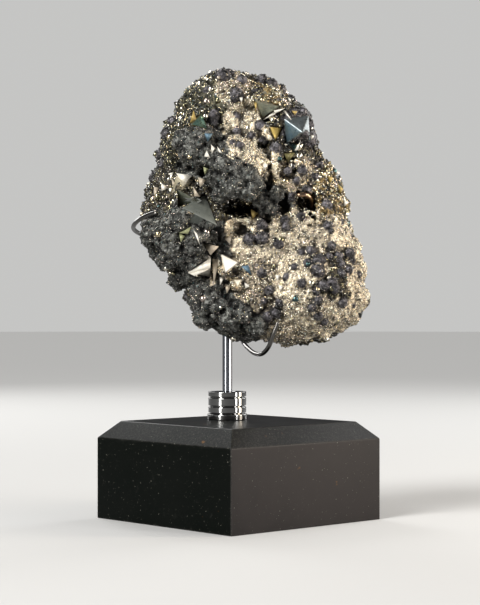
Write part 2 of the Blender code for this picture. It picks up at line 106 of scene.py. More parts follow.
# Dark rounded growths, across, up and radius in mm: large cauliflower heads, then single balls
HEADS = [
    (-24, 188, 6), (-15, 189, 6), (-20, 181, 7), (-12, 180, 6), (-4, 176, 5), (-10, 169, 4.6),
    (-4, 170, 4.8), (2, 173, 4.6), (8, 170, 4.4), (-7, 163, 4.6), (0, 164, 4.8), (6, 164, 4.6),
    (10.5, 166, 4), (3, 168, 4.4), (14, 160, 4.6), (20, 161, 4.4), (17, 155.5, 4), (-25, 148, 7),
    (-34, 144, 7), (-19, 140, 7), (-28, 134, 7), (-12, 142, 5), (-39, 150, 5), (-8, 109, 7), (-14, 103, 6),
    (-15, 116, 6), (-2, 102, 6), (-33, 130, 6), (-27, 122, 6), (-21, 124, 5), (10, 99, 5), (-18, 131, 6),
    (-40, 142, 5), (-30, 140, 6), (4, 104, 5),
]
BALLS = [
    (1, 193, 2.4), (-0.5, 187, 2), (3, 185.5, 2.4), (8, 191, 1.8), (1, 200.5, 1.9), (-10, 201, 3),
    (-10, 198, 3), (0.5, 211, 4.4), (12.5, 196, 4), (14, 188.5, 2.6), (20, 184.5, 5), (37, 190, 2.6),
    (33, 174, 3.8), (32.5, 151.5, 2.7), (25, 146, 2.7), (24.5, 149.7, 3), (45.5, 147, 3), (51.7, 149, 2.4),
    (46.8, 144.5, 2.1), (32.5, 134.3, 3), (37.5, 134.6, 3), (35.7, 128.8, 2.9), (41, 130, 3.5),
    (40.6, 125, 3.5), (46, 132, 2.9), (50.5, 132.5, 2.7), (56, 133.7, 3), (51.7, 128.8, 3),
    (57.2, 130, 2.6), (60.3, 123.2, 3.1), (51.7, 124, 3), (55.4, 125.7, 2.4), (47.4, 119.5, 3.1),
    (43.7, 117.7, 3.1), (48.6, 116.4, 2.5), (40, 115.2, 2.7), (40.6, 111, 2.9), (37.5, 107.2, 2.4),
    (52.3, 109.7, 3.9), (57.9, 108, 1.5), (40.6, 103, 2.9), (43.7, 100.4, 2.3), (17.2, 115.5, 2.6),
    (13.5, 124, 2.3), (25.2, 122, 2.6), (22, 109.7, 2.9), (20.3, 104.7, 3.1), (14.7, 110.3, 2.4),
    (16, 103, 4), (7.3, 140.5, 3.6), (13.5, 141, 3.6), (13.5, 147, 3.4), (21.5, 138, 3.1), (35, 164.5, 2.6),
    (45, 157, 4), (28, 161, 2.6), (30, 169, 3), (26, 173, 2.6), (39, 171, 3), (41, 177, 2.6), (36, 197, 3),
    (33, 203, 3), (27, 211, 2.8), (-6, 221, 4), (3, 219, 3.6), (-3, 223, 3), (-40, 172, 4), (-36, 178, 4),
    (-38, 184, 3), (-34, 193, 3.4), (-31, 199, 3), (-14, 214, 3), (10, 213, 2.6), (22, 216, 3.5),
    (18, 218, 4.5), (13, 220, 4.2), (47, 137, 2.4), (29, 127, 2.3), (33, 119, 2.4),
]

# The CAD's large crystals: the middle of the front face across and up in mm, the front face's colour painted
# lit, the colour of the tarnish and of the other faces painted shaded at a darker share, roughness and
# metallic share
LARGE_CRYSTALS = {
    "left_large": ((-15.3, 154.7), (0.31, 0.33, 0.29), (0.20, 0.22, 0.195), 0.38, 0.7),
    "left_upper": ((-23.7, 159.3), (0.20, 0.225, 0.17), (0.30, 0.30, 0.22), 0.35, 0.8),
    "left_bright": ((-24, 168.7), (0.90, 0.82, 0.66), (0.75, 0.66, 0.46), 0.35, 0.6),
    "top_grey": ((15, 204.3), (0.36, 0.40, 0.33), (0.50, 0.46, 0.32), 0.38, 0.7),
    "top_blue": ((27.3, 192.7), (0.12, 0.20, 0.25), (0.30, 0.34, 0.34), 0.33, 0.85),
    "top_gold": ((20, 192.7), (0.52, 0.38, 0.11), (0.36, 0.27, 0.09), 0.45, 0.8),
    "top_teal": ((29.3, 185.7), (0.05, 0.10, 0.10), (0.09, 0.11, 0.10), 0.25, 1.0),
    "upper_teal": ((-16.7, 197.3), (0.16, 0.28, 0.22), (0.32, 0.28, 0.12), 0.3, 0.9),
    "low_wide": ((-15, 125.7), (0.96, 0.92, 0.80), (0.90, 0.82, 0.66), 0.4, 0.2),
    "low_front": ((-2.7, 128.7), (0.97, 0.93, 0.82), (0.90, 0.82, 0.66), 0.4, 0.2),
    "low_small": ((1.7, 119.7), (0.95, 0.88, 0.72), (0.84, 0.73, 0.52), 0.4, 0.3),
}
BRIGHT_FROM = 0.4  # the least red of a bright crystal
# Crystals that keep their upper and side faces in sight; growths bury the other crystals' side faces
OPEN_SIDED = ("top_blue", "left_bright", "low_wide")
BURYING_SHARE = 5 * MM**2  # area of a side face that each growth covers
BURYING_LEAST = 3
BURYING_RISE = 0.9 * MM
BURYING_SIZES = (1.6, 1.2)  # mm: the least radius and how much more
SIDE_LEAN = 0.3  # how far a face turns to the back, or down on an open-sided crystal, before it counts
SKIRT_REACH = 0.45  # how far the body is brought forward beside a face, as a share of the face's side
SKIRT_SLOPE = 0.4
SHIFT_LIMIT = 14 * MM  # points of the body are moved at most this far by faces and wires
EDGE_GAP = 0.4 * MM  # how far round a face's outline the body is cleared
FACE_GAP = 0.5 * MM  # how far behind a face the cleared body lies
# Each growth step on a large crystal: its width as a share of the largest face's, and its height in mm
GROWTH_STEPS = ((0.045, 0.10), (0.10, 0.12), (0.16, 0.10))

# Smaller faces of crystals sunk in the body between the large ones: tone, then the three corners seen
# from the front, across and up in mm
FACETS = [
    ("cream", -13, 183, -11, 179, -14, 180), ("cream", -8, 185, -5, 181, -7, 182),
    ("cream", -11, 186, -9, 184, -10.5, 181), ("slate", -14, 191, -10, 191, -12.5, 187),
    ("lichen", -26, 143, -20, 146, -21.5, 142.5), ("lichen", -26, 143, -25, 138.5, -23, 141.5),
    ("cream", -19, 144.5, -17, 142.5, -15.5, 137), ("sand", -10.5, 131, -7.2, 130.4, -9.5, 118),
    ("slate", 3.5, 127, 8.5, 122.8, 7, 127.7), ("cream", 20, 123, 22.5, 123, 21, 120),
    ("cream", 21.5, 118, 24, 118, 22.5, 115), ("cream", 25.9, 211, 27.4, 209.6, 26.6, 207.8),
    ("cream", 14, 177, 16.5, 176, 14.5, 173), ("cream", 2, 210, 4, 209.5, 3.4, 207),
    ("cream", 36.4, 191.9, 38.8, 191, 37.4, 189), ("gold", 8, 155, 11.6, 153, 8.7, 150),
    ("moss", 24, 182, 29.5, 182.5, 26, 177.6), ("sand", -30.5, 170, -28, 167, -29.5, 165),
    ("cream", -32.5, 172.6, -30, 173.4, -30.4, 170.6), ("sand", -5, 141, -1, 142.5, -2, 138),
    ("cream", 13.8, 198.8, 19.5, 203.2, 19.8, 201.7), ("cream", 19, 203.1, 24.8, 204.2, 19.8, 201.7),
    ("cream", 23, 203.7, 24.5, 203.5, 28.6, 197.2), ("cream", 29.2, 183.5, 30.7, 183.5, 32.3, 188.7),
    ("gold", 9.5, 207.6, 11, 207.9, 10.4, 201.6), ("gold", 27.8, 203.4, 30.6, 203, 29.3, 201),
    ("gold", -20, 203.5, -18.6, 199, -21.6, 197), ("sand", -4.5, 119, -1.5, 117.5, -3.5, 114),
    ("cream", -7, 122.5, -4.6, 122, -6.6, 118), ("cream", 5, 119.5, 7.6, 117.6, 5.4, 116.4),
    ("lichen", -14.6, 175, -12, 174, -13.8, 171), ("sand", -17, 170, -13, 168.5, -16, 165),
    ("cream", -22, 124, -11, 131.2, -11.1, 126.2), ("cream", -22, 124, -11.3, 126, -18.7, 122.4),
    ("cream", -28.2, 172.4, -20.4, 171, -24, 166.4), ("sand", -14.5, 138.4, -7, 136.6, -11, 132.4),
    ("sand", -19.5, 165.5, -16, 160.5, -18.8, 160.8), ("cream", -36, 168, -32.5, 165.5, -35.6, 164),
    ("sand", -40, 166.5, -37.5, 166, -39.5, 160), ("cream", 49, 176, 51.4, 173.6, 49.4, 172.6),
    ("cream", 53, 160.6, 55.5, 158.8, 53.4, 156.6), ("gold", 45, 172, 48, 171, 46.4, 167.6),
    ("gold", 50.5, 168, 53, 165.6, 51, 163),
]
FACET_TONES = {
    "cream": (0.96, 0.91, 0.79), "sand": (0.55, 0.47, 0.36), "slate": (0.10, 0.17, 0.22),
    "moss": (0.17, 0.15, 0.06), "gold": (0.50, 0.36, 0.12), "lichen": (0.36, 0.37, 0.20),
}
FACET_REACH = 1.8 * MM  # how far round a small face's middle the body's depth is taken
FACET_RISE = 0.6 * MM  # how far a small face stands before that depth
FACET_LAP = 0.5 * MM  # and before a large face beside it
FACET_OVER = 0.8 * MM  # and more before a large face that it lies over
FACET_ROOT = 0.55  # how deep its crystal goes, as a share of its longest edge
# How each tone's faces lean: their depth gained per length across and per length up
FACET_LEANS = {
    "cream": (-0.25, 0.45), "sand": (-0.2, 0.3), "slate": (0.3, -0.1), "moss": (0.2, 0.2),
    "gold": (-0.1, 0.35), "lichen": (-0.2, 0.3),
}

# ---- the mount's design, as the CAD has it

WIRE_RADIUS = 1.1 * MM
WIRE_SIDES = 20
# A wire's domed end: its width and its way along, as shares of the wire's radius
DOME = ((0.02, 0.0), (0.35, 0.06), (0.7, 0.29), (0.92, 0.6), (1.0, 1.0))
WIRE_BED = 1.7 * MM  # how far the body keeps behind a hook's middle line
WIRE_BED_HALF = 2.1 * MM
RING_HEIGHTS = [2.9 * MM, 3.9 * MM, 2.4 * MM]
GROOVE_WIDTH = 0.75 * MM
GROOVE_DEPTH = 0.9 * MM
FLANGE_HEIGHT = 2.8 * MM
GROOVE_TAPER = 0.08 * MM
RING_ROUND = 0.22 * MM
FLANGE_STEP = 0.5 * MM
BORE_GAP = 0.2 * MM
POST_ROUND = 0.7 * MM
CHAMFER_FOOT = (40.6 * MM, 41.4 * MM)  # heights between which the stone turns to its bevelled edges

# Each arm: where its lap on the post starts and ends, then the route round to the hook's tip, in mm
ARM_ROUTES = {
    "arm_left": [(-6, 13.9, 114), (-6, 13.9, 126), (-20, 14, 137), (-38, 10, 142), (-48, 1, 144),
                 (-51.5, -12, 146), (-50.5, -25, 148), (-46.5, -35, 150.5), (-40.7, -41, 152.7),
                 (-37, -43.4, 153.2)],
    "arm_right": [(-6, 13.9, 130), (-6, 13.9, 142), (8, 14, 145), (24, 13, 147), (34, 8, 149), (37, 0, 151.5),
                  (37.3, -14, 153.5), (37.4, -28, 156), (37.2, -37, 159.5), (35, -41.2, 161.7),
                  (30.5, -42.4, 161.6)],
    "arm_lower": [(-2.1, 10, 118), (-2.1, 10, 106), (-1, 7, 96), (1.5, 0, 91.5), (5, -14, 87.5),
                  (9.5, -27, 84.6), (13.5, -36, 84.8), (16.8, -41.5, 88.5), (19, -44.3, 94.5),
                  (21.5, -45.4, 100.5)],
}

# ---- the ground's tones and small crystals

# Each kind of ground: its reflective colour; the share of its points that carry a small crystal, the
# crystals' smallest and largest size in mm, and how often each colour of GLINTS comes up; and the mid-sized
# crystals on a thousand points
GROUNDS = {
    "pale": ((0.70, 0.60, 0.44), 0.85, 0.26, 0.52, (13, 4, 3, 1, 2, 3, 0), 1.5),
    "mixed": ((0.39, 0.325, 0.235), 0.60, 0.28, 0.80, (8, 4, 3, 3, 3, 4, 0), 6),
    "dark": ((0.088, 0.089, 0.080), 0.42, 0.26, 0.54, (1, 0, 1, 1, 10, 13, 1), 0.8),
    "violet": ((0.080, 0.075, 0.079), 0.34, 0.26, 0.50, (0, 0, 1, 0, 8, 12, 0), 1.5),
    "olive": ((0.062, 0.058, 0.038), 0.30, 0.38, 1.05, (1, 3, 0, 7, 3, 11, 1), 7),
    "gold": ((0.16, 0.115, 0.050), 0.32, 0.40, 1.10, (4, 6, 1, 5, 2, 6, 0), 8),
    "bronze": ((0.070, 0.059, 0.039), 0.30, 0.38, 1.00, (1, 1, 1, 4, 4, 13, 0), 8),
    # painted shade: the near-black ground laid in the deep hollow below the dark heads
    "painted_hollow_shade": ((0.030, 0.022, 0.012), 0.16, 0.45, 1.30, (1, 3, 0, 4, 1, 6, 0), 14),
}
TONE_NAMES = list(GROUNDS)
COLOURS, DRUSE_SHARES, DRUSE_LEAST, DRUSE_MOST, GLINT_WEIGHTS, MID_SHARES = (
    np.array(column, float) for column in zip(*GROUNDS.values())
)

# Ground zones seen from the front: across, up, half width and half height in mm
ZONES = [
    ("pale", 3, 198, 9, 9), ("pale", 5, 188, 9, 9), ("pale", 10, 180, 8, 8), ("pale", 14, 174, 6, 6),
    ("gold", 16, 213, 9, 7), ("pale", 38, 143, 17, 9), ("pale", 33, 104, 12, 10), ("pale", 54, 101, 12, 9),
    ("pale", 37, 127, 6, 8), ("pale", 22, 138, 10, 11), ("pale", 61, 122, 5, 17), ("pale", 27, 118, 9, 10),
    ("pale", 3, 142, 9, 7), ("mixed", 10, 122, 13, 12), ("mixed", 14, 106, 8, 6), ("mixed", 29, 172, 8, 9),
    ("mixed", -2, 215, 9, 7), ("mixed", 22, 152, 6, 5), ("gold", 49, 163, 9, 14), ("gold", 22, 219, 8, 5),
    ("olive", -20, 208, 14, 13), ("bronze", -37, 162, 9, 8), ("dark", -17, 183, 12, 11),
    ("dark", 1, 170, 15, 10), ("dark", 18, 159, 9, 6), ("dark", -25, 141, 21, 12),
    ("dark", -9, 107, 12, 13), ("dark", -33, 130, 9, 10), ("mixed", 22, 96, 14, 7), ("dark", 4, 95, 10, 6),
    ("olive", -32, 190, 8, 12), ("violet", 33, 196, 8, 10), ("mixed", -17, 118, 8, 6),
    # the near-black ground over the deepest hollow is painted shade
    ("bronze", 28, 184, 7, 6), ("painted_hollow_shade", 5, 156, 10, 5), ("bronze", -10, 158, 9, 7),
    ("mixed", -16, 154, 6, 4),
]

ZONE_EDGE = 1.5  # how far out a zone counts, in squared half sizes; beyond every zone is bronze
# On the back, the least value of the patchy noise for each tone; the rest is violet
REAR_TONES = {"pale": 0.55, "bronze": 0.2, "olive": -0.15, "dark": -0.5}

# Reflective colours of the small crystals
GLINTS = np.array([
    (0.95, 0.88, 0.72), (0.82, 0.69, 0.46), (0.80, 0.68, 0.60), (0.40, 0.37, 0.24),
    (0.30, 0.29, 0.27), (0.08, 0.08, 0.075), (0.10, 0.17, 0.17),
])

BACK_DRUSE_SHARE = 0.55
DRUSE_BRIGHTNESS = (0.6, 0.6)  # a random factor: the least and how much more
MID_SIZES = (1.0, 2.9)  # mm
MID_GLINTS = (0.26, 0.2, 0.1, 0.16, 0.14, 0.08, 0.06)
MID_CUBES = 0.35
FRONT_LAP = 2 * MM  # how far behind the middle the front's pieces reach
WIRE_CLEARANCE = 0.4 * MM

# ---- the plain body's surface


def outline_radius(angle):
    """Distance from the body's centre to its outline, for an array of directions seen from the front."""
    across = np.array(BODY_OUTLINE, float) * MM - BODY_CENTRE[[0, 2]]
    turn = np.arctan2(across[:, 1], across[:, 0])
    reach = np.hypot(across[:, 0], across[:, 1])
    return np.interp(angle, turn, reach, period=math.tau) - RIM_INSET


def middle_depth(z):
    return BODY_CENTRE[1] + BODY_LEAN * (z - BODY_CENTRE[2])


def surface_depths(x, z):
    """Depth of the plain body's front and back surfaces behind points seen from the front."""
    dx, dz = x - BODY_CENTRE[0], z - BODY_CENTRE[2]
    share = np.minimum(np.hypot(dx, dz) / outline_radius(np.arctan2(dz, dx)), 1.0)
    slope = np.sqrt(1.0 - share ** (2 / RIM_FULLNESS))
    ahead = middle_depth(z) - BODY_FRONT * slope**FRONT_FULLNESS
    behind = middle_depth(z) + BODY_BACK * slope**BACK_FULLNESS
    for mass_x, mass_y, mass_z, radius in np.array(MASSES) * MM:
        half_squared = radius**2 - (x - mass_x) ** 2 - (z - mass_z) ** 2
        half = np.sqrt(np.maximum(half_squared, 0.0))
        inside = half_squared > 0
        ahead = np.where(inside, np.minimum(ahead, mass_y - half), ahead)
        behind = np.where(inside, np.maximum(behind, mass_y + half), behind)
    return ahead, behind


def curved(knots, per_span):
    """Points along a Catmull-Rom curve through the knots."""
    knots = [np.array(k, float) * MM for k in knots]
    ends = [knots[0] * 2 - knots[1]] + knots + [knots[-1] * 2 - knots[-2]]
    points = []
    for p0, p1, p2, p3 in zip(ends, ends[1:], ends[2:], ends[3:]):
        for t in np.arange(per_span) / per_span:
            points.append(
                0.5 * (2 * p1 + (p2 - p0) * t + (2 * p0 - 5 * p1 + 4 * p2 - p3) * t**2
                       + (3 * p1 - p0 - 3 * p2 + p3) * t**3)
            )
    return np.array(points + [knots[-1]])


# ---- arrays to meshes


def unit_shape(kind, detail=2):
    """Vertices and triangles of a unit sphere, octahedron or cube."""
    bm = bmesh.new()
    if kind == "sphere":
        bmesh.ops.create_icosphere(bm, subdivisions=detail, radius=1.0)
    elif kind == "octahedron":
        bmesh.ops.create_uvsphere(bm, u_segments=4, v_segments=2, radius=1.0)
    else:
        bmesh.ops.create_cube(bm, size=1.15)
    bmesh.ops.triangulate(bm, faces=bm.faces)
    bm.verts.index_update()
    verts = np.array([v.co for v in bm.verts])
    faces = np.array([[v.index for v in f.verts] for f in bm.faces])
    bm.free()
    return verts, faces


def copies(shape, centres, sizes, turns=None):
    """One array of vertices and one of faces for many copies of a unit shape."""
    verts, faces = shape
    count = len(centres)
    if turns is None:
        placed = np.broadcast_to(verts, (count, *verts.shape)).copy()
    else:
        placed = np.einsum("nij,vj->nvi", turns, verts)
    sizes = np.asarray(sizes, float)
    placed *= sizes.reshape(count, 1, -1)
    placed += np.asarray(centres)[:, None, :]
    numbered = faces[None] + (np.arange(count) * len(verts))[:, None, None]
    return placed.reshape(-1, 3), numbered.reshape(-1, 3)


def joined(groups):
    verts, faces, offset = [], [], 0
    for group_verts, group_faces in groups:
        verts.append(group_verts)
        faces.append(group_faces + offset)
        offset += len(group_verts)
    return np.concatenate(verts), np.concatenate(faces)


def linked(name, data):
    """A new object in the scene."""
    obj = bpy.data.objects.new(name, data)
    bpy.context.scene.collection.objects.link(obj)
    return obj


def mesh_from(bm, name):
    """The bmesh as a mesh of its own."""
    mesh = bpy.data.meshes.new(name)
    bm.to_mesh(mesh)
    bm.free()
    return mesh


def new_object(name, verts, faces):
    mesh = bpy.data.meshes.new(name)
    mesh.vertices.add(len(verts))
    mesh.vertices.foreach_set("co", np.asarray(verts, np.float32).ravel())
    mesh.loops.add(faces.size)
    mesh.loops.foreach_set("vertex_index", faces.astype(np.int32).ravel())
    mesh.polygons.add(len(faces))
    mesh.polygons.foreach_set("loop_start", np.arange(0, faces.size, faces.shape[1], dtype=np.int32))
    mesh.update(calc_edges=True)
    return linked(name, mesh)


def vectors(rows, field):
    """One field of a mesh's rows as an array."""
    flat = np.empty(len(rows) * 3, np.float32)
    rows.foreach_get(field, flat)
    return flat.reshape(-1, 3).astype(float)


def positions(mesh):
    return vectors(mesh.vertices, "co")


def normals(mesh):
    return vectors(mesh.vertex_normals, "vector")


def fused(name, groups, voxel):
    """One closed skin around overlapping closed shapes."""
    shell = new_object(name, *joined(groups))
    remesh = shell.modifiers.new("fused", "REMESH")
    remesh.mode = "VOXEL"
    remesh.voxel_size = voxel
    depsgraph = bpy.context.evaluated_depsgraph_get()
    mesh = bpy.data.meshes.new_from_object(shell.evaluated_get(depsgraph))
    bpy.data.objects.remove(shell, do_unlink=True)
    return linked(name, mesh)


# ---- noise


def lattice(cells, seed):
    """A repeatable value from -1 to 1 for each whole-number cell."""
    mixed = cells[:, 0] * 73856093 ^ cells[:, 1] * 19349663 ^ cells[:, 2] * 83492791 ^ seed * 2654435761
    mixed = (mixed ^ (mixed >> 13)) * 1274126177 & 0x7FFFFFFF
    mixed = (mixed ^ (mixed >> 16)) & 0xFFFFF
    return mixed / 0x7FFFF - 1.0


def value_noise(points, cell, seed):
    """Smooth values from -1 to 1 that change over the length of a cell."""
    scaled = np.asarray(points) / cell + 1000.0
    whole = np.floor(scaled).astype(np.int64)
    part = scaled - whole
    part = part * part * (3 - 2 * part)
    total = np.zeros(len(scaled))
    for corner in range(8):
        step = np.array([corner & 1, corner >> 1 & 1, corner >> 2 & 1])
        weight = np.prod(np.where(step, part, 1 - part), axis=1)
        total += weight * lattice(whole + step, seed)
    return total


# ---- colour zones


def zone_of(points):
    """The number of the tone of each point of the ground between the growths."""
    warp = np.stack([value_noise(points, 7 * MM, 3), value_noise(points, 7 * MM, 4)], 1) * 2.4
    warp += np.stack([value_noise(points, 2.5 * MM, 5), value_noise(points, 2.5 * MM, 6)], 1) * 1.3
    across = points[:, 0] / MM + warp[:, 0]
    up = points[:, 2] / MM + warp[:, 1]
    best = np.full(len(points), ZONE_EDGE)
    chosen = np.full(len(points), TONE_NAMES.index("bronze"))
    for tone, zone_x, zone_z, half_x, half_z in ZONES:
        far = ((across - zone_x) / half_x) ** 2 + ((up - zone_z) / half_z) ** 2
        nearer = far < best
        best = np.where(nearer, far, best)
        chosen = np.where(nearer, TONE_NAMES.index(tone), chosen)
    ragged = 9 * value_noise(points, 16 * MM, 8) + 5 * value_noise(points, 6 * MM, 7)
    rear = points[:, 1] > middle_depth(points[:, 2]) + (3 + ragged) * MM
    patch = value_noise(points, 14 * MM, 9) + 0.5 * value_noise(points, 6 * MM, 10)
    rear_tone = np.select(
        [patch > least for least in REAR_TONES.values()],
        [TONE_NAMES.index(name) for name in REAR_TONES],
        TONE_NAMES.index("violet"),
    )
    return np.where(rear, rear_tone, chosen)


# ---- specimen body


def between(low, high, count):
    """Random numbers between two values."""
    return low + (high - low) * RNG.random_sample(count)


def factors(least_and_more, count):
    least, more = least_and_more
    return least + more * RNG.random_sample(count)


def random_turns(count):
    """Random rotation matrices."""
    q = RNG.normal(size=(count, 4))
    w, x, y, z = (q / np.linalg.norm(q, axis=1)[:, None]).T
    return np.stack(
        [
            1 - 2 * (y * y + z * z), 2 * (x * y - z * w), 2 * (x * z + y * w),
            2 * (x * y + z * w), 1 - 2 * (x * x + z * z), 2 * (y * z - x * w),
            2 * (x * z - y * w), 2 * (y * z + x * w), 1 - 2 * (x * x + y * y),
        ],
        1,
    ).reshape(-1, 3, 3)


def front_spheres(rows, stand_out):
    """Spheres in the front surface, of which the given share stands out."""
    x, z, radius = (np.array(rows, float) * MM).T
    ahead, _ = surface_depths(x, z)
    return np.stack([x, ahead + radius * (1 - stand_out) - GROWTH_SINK, z], 1), radius


def raspberry(centres, radii, count, share):
    """Smaller spheres budding all over each sphere."""
    step = np.arange(count)
    up = 1 - (2 * step + 1) / count
    turn = step * math.pi * (3 - math.sqrt(5))
    flat = np.sqrt(1 - up**2)
    spots = np.stack([flat * np.cos(turn), flat * np.sin(turn), up], 1)
    spots = np.einsum("nij,vj->nvi", random_turns(len(centres)), spots)
    size = share * factors(BUD_FACTORS, (len(centres), count))
    buds = centres[:, None, :] + spots * (radii[:, None] * (BUD_REACH - size * 0.5))[:, :, None]
    return buds.reshape(-1, 3), (size * radii[:, None]).ravel()


def body_cage():
    """The plain body: a unit sphere pushed out to the outline, front and back."""
    verts, faces = unit_shape("sphere", 6)
    turn = np.arctan2(verts[:, 2], verts[:, 0])
    reach = np.hypot(verts[:, 0], verts[:, 2]) ** RIM_FULLNESS * outline_radius(turn)
    x = BODY_CENTRE[0] + reach * np.cos(turn)
    z = BODY_CENTRE[2] + reach * np.sin(turn)
    ahead = np.abs(verts[:, 1])
    y = middle_depth(z) + np.where(
        verts[:, 1] < 0, -BODY_FRONT * ahead**FRONT_FULLNESS, BODY_BACK * ahead**BACK_FULLNESS
    )
    return np.stack([x, y, z], 1), faces


def carved(points):
    """The front points pushed back into the hollows, with ragged rims."""
    warp = np.stack([value_noise(points, 5 * MM, seed) for seed in (40, 41)], 1) * HOLLOW_RAG
    across, up = (points[:, [0, 2]] / MM + warp).T
    front = points[:, 1] < middle_depth(points[:, 2])
    points = points.copy()
    for x, z, half_wide, half_high, depth in HOLLOWS:
        inside = np.clip(1 - ((across - x) / half_wide) ** 2 - ((up - z) / half_high) ** 2, 0, 1)
        points[:, 1] += np.where(front, depth * MM * np.sqrt(inside), 0)
    return points


def side_growths():
    """Random growths over the back, clear of the post, and over the rim."""
    turn = between(0, math.tau, BACK_GROWTHS)
    share = np.sqrt(between(0.02, 0.85, BACK_GROWTHS))
    radius = between(*BACK_SIZES, BACK_GROWTHS) * MM
    x = BODY_CENTRE[0] + share * outline_radius(turn) * np.cos(turn)
    z = BODY_CENTRE[2] + share * outline_radius(turn) * np.sin(turn)
    _, behind = surface_depths(x, z)
    back = np.stack([x, behind - radius * 0.5, z], 1)
    post_low, post_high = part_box("post")
    post_x = (post_low.x + post_high.x) / 2
    clear = (np.abs(x - post_x) > radius + POST_GAP) | (z > post_high.z + radius)
    turn = between(0, math.tau, RIM_GROWTHS)
    rim_radius = between(*RIM_SIZES, RIM_GROWTHS) * MM
    depth = between(-RIM_DEPTH, RIM_DEPTH, RIM_GROWTHS)
    reach = outline_radius(turn) * (1 - depth**2) ** (RIM_FULLNESS / 2) - rim_radius * 0.45
    x = BODY_CENTRE[0] + reach * np.cos(turn)
    z = BODY_CENTRE[2] + reach * np.sin(turn)
    rim = np.stack([x, middle_depth(z) + depth * BODY_FRONT, z], 1)
    return np.concatenate([back[clear], rim]), np.concatenate([radius[clear], rim_radius])


def build_body():
    head_centres, head_radii = front_spheres(HEADS, HEADS_STAND_OUT)
    head_centres += HEAD_JITTER * RNG.normal(size=head_centres.shape) * (0.5, 1, 0.5)
    head_radii = head_radii * factors(HEAD_FACTORS, len(head_radii))
    ball_centres, ball_radii = front_spheres(BALLS, BALLS_STAND_OUT)
    side_centres, side_radii = side_growths()
    masses = np.array(MASSES, float) * MM
    plain = [
        body_cage(),
        copies(unit_shape("sphere", 5), masses[:, :3], masses[:, 3:]),
        copies(unit_shape("sphere", 3), side_centres, side_radii[:, None]),
    ]
    rough = fused("rough", plain, ROUGH_VOXEL)
    points, outward = carved(positions(rough.data)), normals(rough.data)
    faces = np.array([p.vertices[:] for p in rough.data.polygons])
    ground = points, np.concatenate([faces[:, [0, 1, 2]], faces[:, [0, 2, 3]]])
    bpy.data.objects.remove(rough, do_unlink=True)
    knobs = ground_knobs(points, outward)
    lobe_centres, lobe_radii = raspberry(head_centres, head_radii, *HEAD_LOBES)
    head_buds = raspberry(lobe_centres, lobe_radii, *LOBE_BUDS)
    ball_radii = ball_radii * factors(BALL_FACTORS, len(ball_radii))
    ball_buds = raspberry(ball_centres, ball_radii, *BALL_BUDS)
    side_buds = raspberry(side_centres, side_radii, *SIDE_BUDS)
    growths = [
        (head_centres, head_radii * CORE_SHARE, 2), (lobe_centres, lobe_radii * CORE_SHARE, 2),
        (ball_centres, ball_radii * CORE_SHARE, 2), (*head_buds, 1), (*ball_buds, 2), (*side_buds, 2),
        (*knobs, 2), (*around_crystals(), 2),
    ]
    grown = []
    for centres, radii, detail in growths:
        free = wire_distance(centres) > radii + WIRE_RADIUS + WIRE_CLEARANCE
        grown.append(copies(unit_shape("sphere", detail), centres[free], radii[free, None]))
    body = fused("specimen_body", [ground] + grown, BODY_VOXEL)
    facets = finish_body(body, (head_centres, head_radii), (ball_centres, ball_radii))
    return body, facets


def ground_knobs(points, outward):
    """Small knobs all over the ground, larger on the dark and violet ground."""
    knobby = on_tones(zone_of(points), "dark", "violet")
    picked = RNG.random_sample(len(points)) < np.where(knobby, 0.10, 0.14)
    radii = between(*KNOB_SIZES, picked.sum()) * MM * np.where(knobby, 1.0, 0.6)[picked]
    return points[picked] - outward[picked] * radii[:, None] * 0.2, radii


def on_tones(tone, *names):
    return np.isin(tone, [TONE_NAMES.index(name) for name in names])


def around_crystals():
    """Growths that bury the side faces of the CAD's crystals, so that mostly the front face shows."""
    centres, radii = [], []
    for name, node in large_crystals():
        bm = crystal_solid(node)
        front = front_face(bm, name)
        for face in bm.faces:
            kept_open = name in OPEN_SIDED and face.normal.z > -SIDE_LEAN
            if face == front or face.normal.y > SIDE_LEAN or kept_open:
                continue
            corners = np.array([v.co for v in face.verts])
            for _ in range(BURYING_LEAST + int(face.calc_area() / BURYING_SHARE)):
                share = RNG.dirichlet(np.ones(len(corners)))
                radius = factors(BURYING_SIZES, None) * MM
                centres.append(share @ corners - np.array(face.normal) * (radius - BURYING_RISE))
                radii.append(radius)
        bm.free()
    return np.array(centres), np.array(radii)


def large_crystals():
    """The CAD's crystals, each with its name in the design."""
    crystals = [(name, node) for name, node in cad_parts.items() if name.startswith("crystal")]
    return [(name.removeprefix("crystal_"), node) for name, node in crystals]


def wire_distance(points):
    """Distance from each point to the nearest wire's middle line."""
    path = np.concatenate([curved(knots, 8) for knots in ARM_ROUTES.values()])
    nearest = np.full(len(points), np.inf)
    for spot in path:
        nearest = np.minimum(nearest, np.linalg.norm(points - spot, axis=1))
    return nearest


def joined_neighbours(mesh):
    flat = np.empty(len(mesh.edges) * 2, np.int32)
    mesh.edges.foreach_get("vertices", flat)
    ends = flat.reshape(-1, 2)
    return np.concatenate([ends[:, 0], ends[:, 1]]), np.concatenate([ends[:, 1], ends[:, 0]])


def sunkenness(mesh, rounds):
    """How far each point lies below its smoothed surroundings, in metres."""
    points, outward = positions(mesh), normals(mesh)
    here, there = joined_neighbours(mesh)
    count = np.maximum(np.bincount(here, minlength=len(points)), 1)
    calm = points.copy()
    for _ in range(rounds):
        calm = np.stack([np.bincount(here, calm[there, k], len(points)) / count for k in range(3)], 1)
    return ((calm - points) * outward).sum(1)


def clear_of_crystals(points, faces):
    """The points that would hide a crystal's front face pushed back behind it, and which ones moved."""
    points = points.copy()
    moved = np.zeros(len(points), bool)
    for corners, normal in faces:
        inside, away, _ = against(points[:, [0, 2]], corners)
        depth = face_depth(points[:, [0, 2]], corners, normal)
        covering = (inside | (away < EDGE_GAP)) & (points[:, 1] < depth + FACE_GAP)
        covering &= points[:, 1] > depth - SHIFT_LIMIT
        points[covering, 1] = depth[covering] + FACE_GAP
        moved |= covering
    return points, moved


